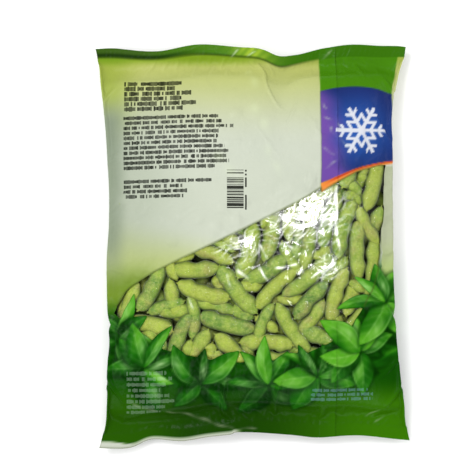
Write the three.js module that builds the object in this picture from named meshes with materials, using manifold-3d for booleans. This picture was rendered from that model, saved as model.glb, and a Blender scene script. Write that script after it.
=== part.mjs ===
// A sealed pillow bag of frozen edamame pods, lying on its back on a flat surface.
//
// One sheet of polyethylene film is wrapped into a tube, lapped and welded along its length, and welded
// flat across both ends. Most of the film is printed; one region of its upper face is left clear, and the
// pods show through it. Inside is a heap of soybean pods that the film presses flat from above and below.
//
// Frame: millimetres, +X across the bag, +Y along it towards the top weld, +Z up.
// Origin: centre of the bag's outline, on the surface it lies on.

import * as THREE from "three";
import { mergeVertices } from "three/addons/utils/BufferGeometryUtils.js";
import Module from "manifold-3d";

const wasm = await Module();
wasm.setup();

// ---------------------------------------------------------------- driving dimensions

const BAG_LENGTH = 318; // end to end, along the corners
const END_HALF_WIDTH = 122; // the film tube lies flat at the welds
const MID_HALF_WIDTH = 113; // the filling draws the sides in
const TOP_RISE = 30; // of the upper face above the sides, at the fullest place
const SIDE_HEIGHT = 20; // of the sides above the surface
const WELD_HEIGHT = 11; // of the end welds above the surface
const WELD_LENGTH = 10;
const FILM = 0.8; // wall; the real film is 0.07 mm
const SEAM_WIDTH = 13; // lap of the long seam
const SEAM_LEFT = 55; // x of its left edge
const LAP_STEP = 0.6; // breadth of the step up at either edge of the lap

const POD_CLEARANCE = 1.6; // between the pods and the film
const CORE_DEPTH = 5.8; // of the heap's solid middle below the tops of the outermost pods
const CORE_SIDE_DEPTH = 2; // and in from their sides
const UPPER_PODS = 130;
const LOWER_PODS = 14;
const THREE_BEANED = 0.55; // share of the pods that hold three beans; the others hold two
const POD_LENGTH = { 2: [31, 38], 3: [40, 50] };
const POD_WIDTH = [12, 14.6];
const POD_THICKNESS = [9, 10.6];
const POD_BEND = [0.08, 0.35]; // bow of the axis, as a share of half the length

const COLORS = {
  printedFilm: 0x8fae3c,
  clearFilm: 0xe9efe2,
  pods: 0x93a94a,
};

// ---------------------------------------------------------------- outline and height of the bag
// across runs from -1 at the left side to 1 at the right, along from -1 at the bottom weld to 1 at the top.

const HALF_LENGTH = BAG_LENGTH / 2;
const WELD_START = 1 - WELD_LENGTH / HALF_LENGTH;

const bump = (x, middle, width) => Math.exp(-(((x - middle) / width) ** 2));
const mix = (a, b, t) => a + (b - a) * t;

// The welds bow inwards, because the middle of the film climbs over the filling.
const topEnd = (x) =>
  HALF_LENGTH - 1.8 - 8 * bump(x, 24, 13) - 4.5 * bump(x, -105, 45) + 1.5 * bump(x, 118, 12);
const bottomEnd = (x) =>
  -HALF_LENGTH + 9.5 * bump(x, -5, 62) + 5.5 * bump(x, 72, 40);

// How full the bag is, from 0 at the welds to 1 at the middle.
const fullness = (along) =>
  1 - Math.min(1, Math.abs(along) / WELD_START) ** 3.4;

const halfWidth = (along) =>
  MID_HALF_WIDTH + (END_HALF_WIDTH - MID_HALF_WIDTH) * Math.abs(along) ** 8;

// The welds aren't flat: they wave up and down across the bag.
const weldWave = (across, along) =>
  along > 0
    ? 3.2 * Math.cos(4.6 * across + 0.5) + 1.6 * Math.cos(9.5 * across)
    : 2.6 * Math.cos(3.9 * across - 0.4) + 1.8 * Math.cos(7.7 * across + 1);

const middleHeight = (across, along) => {
  const full = fullness(along);
  return (
    mix(WELD_HEIGHT, SIDE_HEIGHT, full) + weldWave(across, along) * (1 - full) ** 2
  );
};

const topHeight = (across, along) =>
  middleHeight(across, along) +
  FILM +
  TOP_RISE * fullness(along) * (1 - Math.abs(across) ** 2.8) ** 0.62;

const bottomHeight = (across, along) => {
  const middle = middleHeight(across, along) - FILM;
  const drop = Math.min(middle, 1.35 * SIDE_HEIGHT * fullness(along));
  return middle - drop * Math.min(1, 1.3 * (1 - Math.abs(across) ** 3.2) ** 0.6);
};

const pointAt = (across, along, height) => {
  const x = across * halfWidth(along);
  return new THREE.Vector3(
    x,
    mix(bottomEnd(x), topEnd(x), (along + 1) / 2),
    height(across, along),
  );
};

// The inverse: where a point of the plan lies in the bag.
const placeOf = (x, y) => {
  const along = (2 * (y - bottomEnd(x))) / (topEnd(x) - bottomEnd(x)) - 1;
  return [x / halfWidth(along), along];
};

// ---------------------------------------------------------------- meshes and solids

// A closed geometry through rings of points. Each ring runs out along one side and back along the other,
// with the same even count, and the end rings are capped by strips from side to side.
function skin(rings) {
  const count = rings[0].length;
  const points = rings.flat();
  const faces = [];
  for (let r = 0; r + 1 < rings.length; r++)
    for (let i = 0; i < count; i++) {
      const a = r * count + i;
      const b = r * count + ((i + 1) % count);
      faces.push(a, a + count, b, b, a + count, b + count);
    }
  const last = (rings.length - 1) * count;
  for (let i = 0; i + 1 < count / 2; i++) {
    const j = count - 1 - i;
    faces.push(i, i + 1, j - 1, i, j - 1, j);
    faces.push(last + i, last + j - 1, last + i + 1, last + i, last + j, last + j - 1);
  }
  return new THREE.BufferGeometry().setFromPoints(points).setIndex(faces);
}

function toSolid(geometry) {
  const bare = geometry.clone();
  bare.deleteAttribute("normal");
  bare.deleteAttribute("uv");
  const merged = mergeVertices(bare, 1e-4);
  return new wasm.Manifold(
    new wasm.Mesh({
      numProp: 3,
      vertProperties: new Float32Array(merged.attributes.position.array),
      triVerts: new Uint32Array(merged.index.array),
    }),
  );
}

function toGeometry(solid) {
  const { vertProperties, triVerts } = solid.getMesh();
  const geometry = new THREE.BufferGeometry()
    .setAttribute("position", new THREE.BufferAttribute(vertProperties, 3))
    .setIndex(new THREE.BufferAttribute(triVerts, 1))
    .toNonIndexed();
  geometry.computeVertexNormals();
  return geometry;
}

// The largest connected piece, with any hollow sealed inside it filled.
const largestBody = (solid) =>
  solid
    .decompose()
    .reduce((best, body) => (body.volume() > best.volume() ? body : best));

// ---------------------------------------------------------------- the bag's film

// Columns of a ring from side to side, closer together where the film turns down. Four more of them are
// the edges of the seam's lap, which rises over LAP_STEP at either edge.
const seamEdges = [
  SEAM_LEFT,
  SEAM_LEFT + LAP_STEP,
  SEAM_LEFT + SEAM_WIDTH - LAP_STEP,
  SEAM_LEFT + SEAM_WIDTH,
];

function columnsAcross(count, along) {
  const even = Array.from({ length: count + 1 }, (_, i) =>
    Math.sin(((i / count) * 2 - 1) * (Math.PI / 2)),
  );
  const seam = seamEdges.map((x) => x / halfWidth(along));
  return [...even, ...seam].sort((a, b) => a - b);
}

// How far the film's second layer lifts the upper face at the distance x across.
const lapRise = (x) =>
  x > seamEdges[0] + LAP_STEP / 2 && x < seamEdges[3] - LAP_STEP / 2 ? FILM : 0;

// A pillow inside the bag's outer face, lying inset mm below it and sideInset mm in from its sides,
// between two places along the bag. Only the outer face itself, which has no inset, shows the lap.
function pillow({ inset, sideInset = inset, from, to, rows, columns }) {
  const rings = [];
  for (let r = 0; r <= rows; r++) {
    const along = mix(from, to, r / rows);
    const side = 1 - sideInset / halfWidth(along);
    const lap = (a) => (inset ? 0 : lapRise(a * halfWidth(along)));
    const high = (a, v) =>
      Math.max(topHeight(a, v) - inset, middleHeight(a, v) + 0.2) + lap(a);
    const low = (a, v) =>
      Math.min(bottomHeight(a, v) + inset, middleHeight(a, v) - 0.2);
    const place = (height) => (a) => {
      const p = pointAt(a, along, height);
      return p.setX(p.x * side);
    };
    const across = columnsAcross(columns, along);
    rings.push([
      ...across.map(place(low)),
      ...across.reverse().map(place(high)),
    ]);
  }
  return toSolid(skin(rings));
}

// Outline of the clear window on the plan: a sweep up to the right, and a lower edge over the leaf print.
const WINDOW_TOP = [
  [-109, -55],
  [-97, -35],
  [-65, -16],
  [-27, 2],
  [34, 32],
  [70, 52],
  [106, 63],
];
const WINDOW_SIDE = [
  [106, 63],
  [105, 24],
  [98, -31],
  [78, -68],
];
const WINDOW_BOTTOM = [
  [78, -68],
  [40, -88],
  [-20, -93],
  [-78, -80],
  [-109, -55],
];
const WINDOW_GAP = 0.3; // between the clear film's node and the printed film's
const PRISM_FLOOR = 16; // the cut goes through the upper face alone

function windowPrism(shrink) {
  const outline = [WINDOW_TOP, WINDOW_SIDE, WINDOW_BOTTOM].flatMap((points) => {
    const curve = new THREE.SplineCurve(points.map((p) => new THREE.Vector2(...p)));
    return curve.getSpacedPoints(points.length * 2).slice(0, -1);
  });
  const moved = outline.map((p, i) => {
    const before = outline.at(i - 1);
    const after = outline[(i + 1) % outline.length];
    const inward = new THREE.Vector2(after.y - before.y, before.x - after.x).normalize();
    return p.clone().addScaledVector(inward, shrink);
  });
  const prism = new THREE.ExtrudeGeometry(new THREE.Shape(moved), {
    depth: 60,
    bevelEnabled: false,
  });
  return toSolid(prism.translate(0, 0, PRISM_FLOOR));
}

// ---------------------------------------------------------------- pods
// The heap is laid from the film inwards. Each pod is tried in many random places and pressed against the
// film or the pods already there until it touches at both ends. It stays in the place that is close to the
// film, covers the most that is still open, and lies snugly beside the pods already there.

// Random numbers from 0 to 1, the same on every run.
function dice(seed) {
  let state = seed;
  return () => {
    state = (Math.imul(state, 1664525) + 1013904223) >>> 0;
    return state / 2 ** 32;
  };
}

const STATIONS = [-0.96, -0.62, -0.3, 0, 0.3, 0.62, 0.96]; // along a pod, where it can touch
const CENTRE = 3; // the middle one
const RIBS = [-0.87, 0, 0.87]; // across it
const BESIDE = [-1.5, 1.5]; // just outside it
const OPEN_WORTH = 9; // mm of depth that a pod gives up to cover only open places
const UPPER_SNUG_WORTH = 5; // and to have pods all along both sides
const LOWER_SNUG_WORTH = 0;
const TRIES = 240; // places for each pod
const UPPER_SEED = 20;
const LOWER_SEED = 7;
const STEEPEST = 0.5; // slope of a pod against the film
const CELL = 1.5; // of the map of free height

// A pod is described by s, from -1 at one tip to 1 at the other, and c, from -1 to 1 across it.
// Its breadth at s, as a share of the fullest: two or three beans swell a tapered skin.
function podProfile(s, beans) {
  const taper = (1 - Math.abs(s) ** 4.5) ** 0.6;
  const swell = 0.5 + 0.5 * Math.cos(Math.PI * (beans * (s / 0.82 + 1) - 1));
  return taper * (0.87 + 0.13 * swell);
}

function newPod(roll) {
  const beans = roll() < THREE_BEANED ? 3 : 2;
  return {
    beans,
    length: mix(...POD_LENGTH[beans], roll()),
    width: mix(...POD_WIDTH, roll()),
    thick: mix(...POD_THICKNESS, roll()),
    bend: (roll() < 0.5 ? -1 : 1) * mix(...POD_BEND, roll()),
  };
}

// How far the bowed axis lies to the side at s.
const podBow = (pod, s) => (pod.bend * pod.length * (s * s - 0.4)) / 4;

// Where a point of the pod lies on the plan.
function planPoint(pod, at, s, c) {
  const forward = (s * pod.length) / 2;
  const sideways = podBow(pod, s) + (c * pod.width * podProfile(s, pod.beans)) / 2;
  return [
    at.x + forward * at.cos - sideways * at.sin,
    at.y + forward * at.sin + sideways * at.cos,
  ];
}

// A map of the height that is still free, over the bag's plan. It starts as the film's inner face.
function freeHeight(surface) {
  const columns = Math.ceil((2 * END_HALF_WIDTH) / CELL);
  const rows = Math.ceil(BAG_LENGTH / CELL);
  const heights = new Float64Array(columns * rows);
  const centre = (i, count) => (i + 0.5 - count / 2) * CELL;
  for (let j = 0; j < rows; j++)
    for (let i = 0; i < columns; i++)
      heights[j * columns + i] = surface(centre(i, columns), centre(j, rows));
  const cell = (x, y) =>
    Math.floor(y / CELL + rows / 2) * columns + Math.floor(x / CELL + columns / 2);
  const covered = new Uint8Array(columns * rows);
  return { heights, covered, columns, rows, centre, cell };
}

// How much of the bag the filling takes up: it has slid towards the bottom weld, and a pod lies only
// where the bag is thick enough to hold it.
const HEAP_ACROSS = 0.94;
const HEAP_BOTTOM = -0.86;
const HEAP_TOP = 0.78;
const POD_ROOM = 15.5; // thickness of the bag, film and all

const insideHeap = (x, y) => {
  const [across, along] = placeOf(x, y);
  return (
    Math.abs(across) < HEAP_ACROSS &&
    along > HEAP_BOTTOM &&
    along < HEAP_TOP &&
    topHeight(across, along) - bottomHeight(across, along) > POD_ROOM
  );
};

// Presses a pod up under the map: the highest rigid line that clears it at every station.
function press(pod, at, map) {
  const room = STATIONS.map((s) =>
    Math.min(
      ...RIBS.map((c) => {
        const [x, y] = planPoint(pod, at, s, c);
        if (!insideHeap(x, y)) return -Infinity;
        const rise = (pod.thick / 2) * podProfile(s, pod.beans) * Math.sqrt(1 - c * c);
        return map.heights[map.cell(x, y)] - rise - (at.lean * c * pod.width) / 2;
      }),
    ),
  );
  let height = room[CENTRE];
  let slope = at.slope;
  for (let i = 0; i < CENTRE; i++)
    for (let j = CENTRE + 1; j < STATIONS.length; j++) {
      const m = (room[j] - room[i]) / (STATIONS[j] - STATIONS[i]);
      const middle = room[i] - m * STATIONS[i];
      if (middle < height) {
        height = middle;
        slope = m / (pod.length / 2);
      }
    }
  slope = Math.min(Math.max(slope, at.slope - STEEPEST), at.slope + STEEPEST);
  height = Math.min(...room.map((r, i) => r - slope * STATIONS[i] * (pod.length / 2)));
  return { height, slope };
}

// The share of places along the pod, on lines at the given distances across, that no pod covers yet.
function openShare(pod, at, map, lines) {
  let open = 0;
  for (const s of STATIONS)
    for (const c of lines) {
      const [x, y] = planPoint(pod, at, s, c);
      if (map.covered[map.cell(x, y)] === 0) open++;
    }
  return open / (STATIONS.length * lines.length);
}

// Takes the space that a laid pod fills out of the map.
function occupy(pod, at, map) {
  const reach = pod.length / 2 + 2;
  const first = (v, count) => Math.max(0, Math.floor((v - reach) / CELL + count / 2));
  const last = (v, count) => Math.min(count - 1, Math.ceil((v + reach) / CELL + count / 2));
  for (let j = first(at.y, map.rows); j <= last(at.y, map.rows); j++)
    for (let i = first(at.x, map.columns); i <= last(at.x, map.columns); i++) {
      const dx = map.centre(i, map.columns) - at.x;
      const dy = map.centre(j, map.rows) - at.y;
      const s = (dx * at.cos + dy * at.sin) / (pod.length / 2);
      if (Math.abs(s) >= 1) continue;
      const profile = podProfile(s, pod.beans);
      const aside = dy * at.cos - dx * at.sin - podBow(pod, s);
      const c = aside / ((pod.width / 2) * profile);
      if (Math.abs(c) >= 1) continue;
      const under =
        at.height +
        at.slope * s * (pod.length / 2) +
        at.lean * c * profile * (pod.width / 2) -
        (pod.thick / 2) * profile * Math.sqrt(1 - c * c);
      const k = j * map.columns + i;
      map.heights[k] = Math.min(map.heights[k], under);
      map.covered[k] = 1;
    }
}

// Lays count pods under a surface given over the plan, and returns each with its place.
function layPods(surface, { count, seed, snugWorth }) {
  const roll = dice(seed);
  const map = freeHeight(surface);
  const laid = [];
  for (let n = 0; n < count; n++) {
    const pod = newPod(roll);
    let best = null;
    for (let t = 0; t < TRIES; t++) {
      const x = (2 * roll() - 1) * MID_HALF_WIDTH;
      const y = (2 * roll() - 1) * HALF_LENGTH;
      const heading = 2 * Math.PI * roll();
      if (!insideHeap(x, y)) continue;
      const at = { x, y, cos: Math.cos(heading), sin: Math.sin(heading) };
      at.slope = (surface(x + at.cos, y + at.sin) - surface(x - at.cos, y - at.sin)) / 2;
      at.lean = (surface(x - at.sin, y + at.cos) - surface(x + at.sin, y - at.cos)) / 2;
      const { height, slope } = press(pod, at, map);
      if (height === -Infinity) continue;
      const cost =
        surface(x, y) -
        height -
        OPEN_WORTH * openShare(pod, at, map, RIBS) +
        snugWorth * openShare(pod, at, map, BESIDE);
      if (!best || cost < best.cost) best = { ...at, height, slope, cost };
    }
    if (!best) continue;
    occupy(pod, best, map);
    laid.push({ pod, at: best });
  }
  return laid;
}

// A pod's body: rings round its bowed axis, closing to a tip at both ends.
const POD_RINGS = [-0.94, -0.62, 0, 0.62, 0.94];
const POD_SIDES = 6;

// Pods under the lower film are laid upside down, and turned over here by a side of -1.
function podSolid({ pod, at }, side) {
  const rings = POD_RINGS.map((s) => {
    const profile = podProfile(s, pod.beans);
    return Array.from({ length: POD_SIDES }, (_, i) => {
      const angle = (2 * Math.PI * (i + 0.5)) / POD_SIDES;
      const c = Math.cos(angle);
      const [x, y] = planPoint(pod, at, s, c);
      const rise =
        (at.slope * s * pod.length) / 2 +
        (at.lean * c * profile * pod.width) / 2 +
        (Math.sin(angle) * profile * pod.thick) / 2;
      return new THREE.Vector3(x, y, side * (at.height + rise));
    });
  });
  if (side > 0) rings.reverse();
  return toSolid(skin(rings));
}

// The film's inner faces, as the pods meet them. Right at the sides there is no room, and both are 0.
const roofOf = (x, y) => {
  const [across, along] = placeOf(x, y);
  if (Math.abs(across) >= 0.99) return 0;
  return topHeight(across, along) - FILM - POD_CLEARANCE;
};
const floorOf = (x, y) => {
  const [across, along] = placeOf(x, y);
  if (Math.abs(across) >= 0.99) return 0;
  return bottomHeight(across, along) + FILM + POD_CLEARANCE;
};

function podHeap() {
  const core = pillow({
    inset: FILM + POD_CLEARANCE + CORE_DEPTH,
    sideInset: FILM + POD_CLEARANCE + CORE_SIDE_DEPTH,
    from: HEAP_BOTTOM + 0.02,
    to: HEAP_TOP - 0.02,
    rows: 10,
    columns: 12,
  });
  const upper = layPods(roofOf, {
    count: UPPER_PODS,
    seed: UPPER_SEED,
    snugWorth: UPPER_SNUG_WORTH,
  });
  const lower = layPods((x, y) => -floorOf(x, y), {
    count: LOWER_PODS,
    seed: LOWER_SEED,
    snugWorth: LOWER_SNUG_WORTH,
  });
  return largestBody(
    wasm.Manifold.union([
      core,
      ...upper.map((laid) => podSolid(laid, 1)),
      ...lower.map((laid) => podSolid(laid, -1)),
    ]),
  );
}

// ---------------------------------------------------------------- the assembly

function part(name, solid, color, roughness, extra = {}) {
  const mesh = new THREE.Mesh(
    toGeometry(solid),
    new THREE.MeshStandardMaterial({ color, roughness, metalness: 0, ...extra }),
  );
  mesh.name = name;
  return mesh;
}

// The cavity has the outer face's own rows, all but the first and last, so its facets lie inside.
const FILM_ROWS = 28;
const FILM_COLUMNS = 14;
const outside = pillow({
  inset: 0,
  from: -1,
  to: 1,
  rows: FILM_ROWS,
  columns: FILM_COLUMNS,
});
const cavity = pillow({
  inset: FILM,
  from: -1 + 2 / FILM_ROWS,
  to: 1 - 2 / FILM_ROWS,
  rows: FILM_ROWS - 2,
  columns: FILM_COLUMNS,
});
const tube = outside.subtract(cavity);

const bag = new THREE.Group();
bag.name = "edamame_bag";
bag.add(
  part(
    "printed_film",
    largestBody(tube.subtract(windowPrism(0))),
    COLORS.printedFilm,
    0.35,
  ),
  part(
    "clear_film_window",
    largestBody(tube.intersect(windowPrism(WINDOW_GAP))),
    COLORS.clearFilm,
    0.1,
    { transparent: true, opacity: 0.3 },
  ),
  part("edamame_pods", podHeap(), COLORS.pods, 0.6),
);

export default bag;
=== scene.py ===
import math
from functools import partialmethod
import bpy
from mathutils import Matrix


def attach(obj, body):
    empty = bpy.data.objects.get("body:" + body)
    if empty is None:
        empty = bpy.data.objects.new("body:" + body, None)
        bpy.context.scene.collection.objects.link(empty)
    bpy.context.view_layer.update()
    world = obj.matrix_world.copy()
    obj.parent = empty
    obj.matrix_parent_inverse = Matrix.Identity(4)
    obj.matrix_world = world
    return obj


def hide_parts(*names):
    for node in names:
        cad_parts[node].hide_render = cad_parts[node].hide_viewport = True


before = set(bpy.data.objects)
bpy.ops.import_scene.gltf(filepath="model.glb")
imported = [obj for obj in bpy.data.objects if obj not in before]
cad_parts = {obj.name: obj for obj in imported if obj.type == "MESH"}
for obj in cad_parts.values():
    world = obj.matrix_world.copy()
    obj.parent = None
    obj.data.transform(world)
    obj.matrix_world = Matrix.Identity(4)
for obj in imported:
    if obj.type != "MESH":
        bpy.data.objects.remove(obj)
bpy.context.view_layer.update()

# A sealed pillow bag of frozen edamame pods, lying on its back. The film is a sheet simulated over the pods,
# and the print is painted on it by formula. The pods are the CAD model's own heap, carried on to its middle,
# with short pods in the gaps that the window shows.
# Shapes are worked out in the part's own frame in millimetres, and meshes are written in metres.

from types import SimpleNamespace

import bpy
import numpy as np
from mathutils import Vector

MM = 0.001

# ---- driving dimensions, as in the part's source

BAG_LENGTH = 318.0
END_HALF_WIDTH = 122.0
MID_HALF_WIDTH = 113.0
TOP_RISE = 30.0
SIDE_HEIGHT = 20.0
WELD_HEIGHT = 11.0
WELD_LENGTH = 10.0
FILM = 0.8
SEAM_WIDTH = 13.0
SEAM_LEFT = 55.0

POD_CLEARANCE = 1.6
THREE_BEANED = 0.55
POD_LENGTH = {2: (31.0, 38.0), 3: (40.0, 50.0)}
POD_WIDTH = (12.0, 14.6)
POD_THICKNESS = (9.0, 10.6)
POD_BEND = (0.08, 0.35)

HALF_LENGTH = BAG_LENGTH / 2
WELD_START = 1 - WELD_LENGTH / HALF_LENGTH


def bump(x, middle, width):
    return np.exp(-(((x - middle) / width) ** 2))


def mix(a, b, t):
    return a + (b - a) * t


def smooth(low, high, x):
    """0 below low and 1 above high, with a smooth step between them."""
    t = np.clip((x - low) / (high - low), 0, 1)
    return t * t * (3 - 2 * t)


# ---- outline and height of the bag
# across runs from -1 at the left side to 1 at the right, along from -1 at the bottom weld to 1 at the top.


def top_end(x):
    return HALF_LENGTH - 1.8 - 8 * bump(x, 24, 13) - 4.5 * bump(x, -105, 45) + 1.5 * bump(x, 118, 12)


def bottom_end(x):
    return -HALF_LENGTH + 9.5 * bump(x, -5, 62) + 5.5 * bump(x, 72, 40)


def fullness(along):
    return 1 - np.minimum(1, np.abs(along) / WELD_START) ** 3.4


def half_width(along):
    return MID_HALF_WIDTH + (END_HALF_WIDTH - MID_HALF_WIDTH) * np.abs(along) ** 8


def weld_wave(across, along):
    top = 3.2 * np.cos(4.6 * across + 0.5) + 1.6 * np.cos(9.5 * across)
    bottom = 2.6 * np.cos(3.9 * across - 0.4) + 1.8 * np.cos(7.7 * across + 1)
    return np.where(along > 0, top, bottom)


def middle_height(across, along):
    full = fullness(along)
    return mix(WELD_HEIGHT, SIDE_HEIGHT, full) + weld_wave(across, along) * (1 - full) ** 2


def top_height(across, along):
    dome = np.maximum(0, 1 - np.abs(across) ** 2.8) ** 0.62
    return middle_height(across, along) + FILM + TOP_RISE * fullness(along) * dome


def bottom_height(across, along):
    middle = middle_height(across, along) - FILM
    drop = np.minimum(middle, 1.35 * SIDE_HEIGHT * fullness(along))
    bowl = np.minimum(1, 1.3 * np.maximum(0, 1 - np.abs(across) ** 3.2) ** 0.6)
    return middle - drop * bowl


def point_at(across, along, height):
    x = across * half_width(along)
    y = mix(bottom_end(x), top_end(x), (along + 1) / 2)
    return np.stack([x, y, height(across, along)], -1)


def place_of(x, y):
    along = 2 * (y - bottom_end(x)) / (top_end(x) - bottom_end(x)) - 1
    return x / half_width(along), along


# ---- the heap of pods
# Laid from the film inwards, with the same rule and the same random numbers as the CAD model's.

STATIONS = np.array([-0.96, -0.62, -0.3, 0, 0.3, 0.62, 0.96])  # along a pod, where the map holds it back
CENTRE = 3  # the number of the middle one
RIBS = np.array([-0.87, 0, 0.87])  # across a pod
BESIDE = np.array([-1.5, 1.5])  # across, outside it
BEANS_REACH = 0.82  # how far the row of beans goes to either end, as a share of the half length
OPEN_WORTH = 9.0  # of covering cells that no pod covers, in millimetres of height
TRIES = 240  # places for each pod
STEEPEST = 0.5  # slope against the surface's own
CELL = 1.5  # of the height map
RIM = 0.99  # across, past which the bag has no room
HEAP_ACROSS, HEAP_BOTTOM, HEAP_TOP = 0.94, -0.86, 0.78
POD_ROOM = 15.5  # height of the bag where a pod can be
POD_REACH = 8.0  # beyond a pod's half length, where a cell can still be under it
UPPER = dict(seed=20, snug_worth=5.0, count=300)
LOWER = dict(seed=7, snug_worth=0.0, count=14)
COLUMNS = math.ceil(2 * END_HALF_WIDTH / CELL)
ROWS = math.ceil(BAG_LENGTH / CELL)


def dice(seed):
    state = seed
    while True:
        state = (state * 1664525 + 1013904223) & 0xFFFFFFFF
        yield state / 2**32


def bean_wave(s, beans):
    """1 at the middle of each bean and 0 between two, for s from -1 to 1 along the pod."""
    return 0.5 + 0.5 * np.cos(np.pi * (beans * (s / BEANS_REACH + 1) - 1))


def pod_profile(s, beans):
    taper = np.maximum(0, 1 - np.abs(s) ** 4.5) ** 0.6
    return taper * (0.87 + 0.13 * bean_wave(s, beans))


def new_pod(roll):
    beans = 3 if next(roll) < THREE_BEANED else 2
    return SimpleNamespace(
        beans=beans,
        length=mix(*POD_LENGTH[beans], next(roll)),
        width=mix(*POD_WIDTH, next(roll)),
        thick=mix(*POD_THICKNESS, next(roll)),
        bend=(-1 if next(roll) < 0.5 else 1) * mix(*POD_BEND, next(roll)),
    )


def pod_bow(pod, s):
    return pod.bend * pod.length * (s * s - 0.4) / 4


def plan_point(pod, at, s, c):
    """A point of the pod on the plan: s runs along it and c across it, both from -1 to 1."""
    forward = s * pod.length / 2
    sideways = pod_bow(pod, s) + c * pod.width * pod_profile(s, pod.beans) / 2
    return at.x + forward * at.cos - sideways * at.sin, at.y + forward * at.sin + sideways * at.cos


def cell_of(x, y):
    row = np.floor(y / CELL + ROWS / 2)
    return (row * COLUMNS + np.floor(x / CELL + COLUMNS / 2)).astype(int)


def cell_centres():
    x = (np.arange(COLUMNS) + 0.5 - COLUMNS / 2) * CELL
    y = (np.arange(ROWS) + 0.5 - ROWS / 2) * CELL
    return np.meshgrid(x, y)


def inside_heap(x, y):
    across, along = place_of(x, y)
    across = np.clip(across, -1, 1)
    return (
        (np.abs(across) < HEAP_ACROSS)
        & (along > HEAP_BOTTOM)
        & (along < HEAP_TOP)
        & (top_height(across, along) - bottom_height(across, along) > POD_ROOM)
    )


def widened(at):
    """Places with two more axes, for the stations and the ribs of a pod at each of them."""
    return SimpleNamespace(**{k: v[:, None, None] for k, v in vars(at).items()})


def press(pod, at, heights):
    """For many places at once, the highest rigid line under the map that clears it at every station."""
    wide = widened(at)
    s, c = STATIONS[None, :, None], RIBS[None, None, :]
    x, y = plan_point(pod, wide, s, c)
    rise = pod.thick / 2 * pod_profile(s, pod.beans) * np.sqrt(1 - c * c)
    cell = np.clip(cell_of(x, y), 0, heights.size - 1)
    free = heights[cell] - rise - wide.lean * c * pod.width / 2
    fits = inside_heap(x, y).all((1, 2))
    room = np.where(fits[:, None], free.min(2), 0)
    height, slope = room[:, CENTRE].copy(), at.slope.copy()
    for i in range(CENTRE):
        for j in range(CENTRE + 1, len(STATIONS)):
            m = (room[:, j] - room[:, i]) / (STATIONS[j] - STATIONS[i])
            middle = room[:, i] - m * STATIONS[i]
            lower = middle < height
            height[lower] = middle[lower]
            slope[lower] = m[lower] / (pod.length / 2)
    slope = np.clip(slope, at.slope - STEEPEST, at.slope + STEEPEST)
    height = (room - slope[:, None] * STATIONS[None, :] * (pod.length / 2)).min(1)
    return height, slope, fits


def open_share(pod, at, covered, lines):
    """How much of the pod, or of the strips beside it, is over cells that no pod covers yet."""
    x, y = plan_point(pod, widened(at), STATIONS[None, :, None], lines[None, None, :])
    cell = cell_of(x, y)
    known = (cell >= 0) & (cell < covered.size)
    return (known & ~covered[np.clip(cell, 0, covered.size - 1)]).mean((1, 2))


def pod_cover(pod, at, x, y):
    """Where points of the plan lie under the pod: its s and c, and whether they are in its outline."""
    dx, dy = x - at.x, y - at.y
    s = (dx * at.cos + dy * at.sin) / (pod.length / 2)
    profile = pod_profile(np.clip(s, -1, 1), pod.beans)
    aside = dy * at.cos - dx * at.sin - pod_bow(pod, s)
    with np.errstate(divide="ignore", invalid="ignore"):
        c = aside / (pod.width / 2 * profile)
    inside = (np.abs(s) < 1) & (np.abs(c) < 1)
    return s, np.where(inside, c, 0), profile, inside


def pod_face(pod, at, s, c, profile, side, depth=None):
    """Height of the pod's upper (side 1) or lower face (side -1). depth is its thickness's own profile."""
    tilt = at.slope * s * pod.length / 2 + at.lean * c * profile * pod.width / 2
    rise = side * pod.thick / 2 * (profile if depth is None else depth) * np.sqrt(1 - c * c)
    return at.height + tilt + rise


def chosen(at, best):
    """One of the places, as plain numbers."""
    return SimpleNamespace(**{k: float(v[best]) for k, v in vars(at).items()})


def lay_pods(surface, seed, snug_worth, count):
    """Presses pods one by one against a surface, each at the best of many random places."""
    roll = dice(seed)
    gx, gy = cell_centres()
    heights = surface(gx, gy).ravel()
    covered = np.zeros(heights.size, bool)
    gx, gy = gx.ravel(), gy.ravel()
    laid = []
    for _ in range(count):
        pod = new_pod(roll)
        draws = np.array([next(roll) for _ in range(3 * TRIES)]).reshape(TRIES, 3)
        x = (2 * draws[:, 0] - 1) * MID_HALF_WIDTH
        y = (2 * draws[:, 1] - 1) * HALF_LENGTH
        heading = 2 * np.pi * draws[:, 2]
        kept = inside_heap(x, y)
        x, y, cos, sin = x[kept], y[kept], np.cos(heading[kept]), np.sin(heading[kept])
        at = SimpleNamespace(x=x, y=y, cos=cos, sin=sin)
        at.slope = (surface(x + cos, y + sin) - surface(x - cos, y - sin)) / 2
        at.lean = (surface(x - sin, y + cos) - surface(x + sin, y - cos)) / 2
        height, slope, fits = press(pod, at, heights)
        cost = surface(x, y) - height - OPEN_WORTH * open_share(pod, at, covered, RIBS)
        cost += snug_worth * open_share(pod, at, covered, BESIDE)
        cost[~fits] = np.inf
        best = int(np.argmin(cost))
        if not fits[best]:
            continue
        place = chosen(at, best)
        place.height, place.slope = float(height[best]), float(slope[best])
        near = np.hypot(gx - place.x, gy - place.y) < pod.length / 2 + POD_REACH
        s, c, profile, inside = pod_cover(pod, place, gx[near], gy[near])
        under = pod_face(pod, place, s, c, profile, -1)
        index = np.flatnonzero(near)[inside]
        heights[index] = np.minimum(heights[index], under[inside])
        covered[index] = True
        laid.append((pod, place))
    return laid


def roof_of(x, y):
    across, along = place_of(x, y)
    inner = top_height(np.clip(across, -1, 1), along) - FILM - POD_CLEARANCE
    return np.where(np.abs(across) >= RIM, 0, inner)


def floor_of(x, y):
    across, along = place_of(x, y)
    inner = bottom_height(np.clip(across, -1, 1), along) + FILM + POD_CLEARANCE
    return np.where(np.abs(across) >= RIM, 0, inner)


# ---- the pods' fine shape

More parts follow.
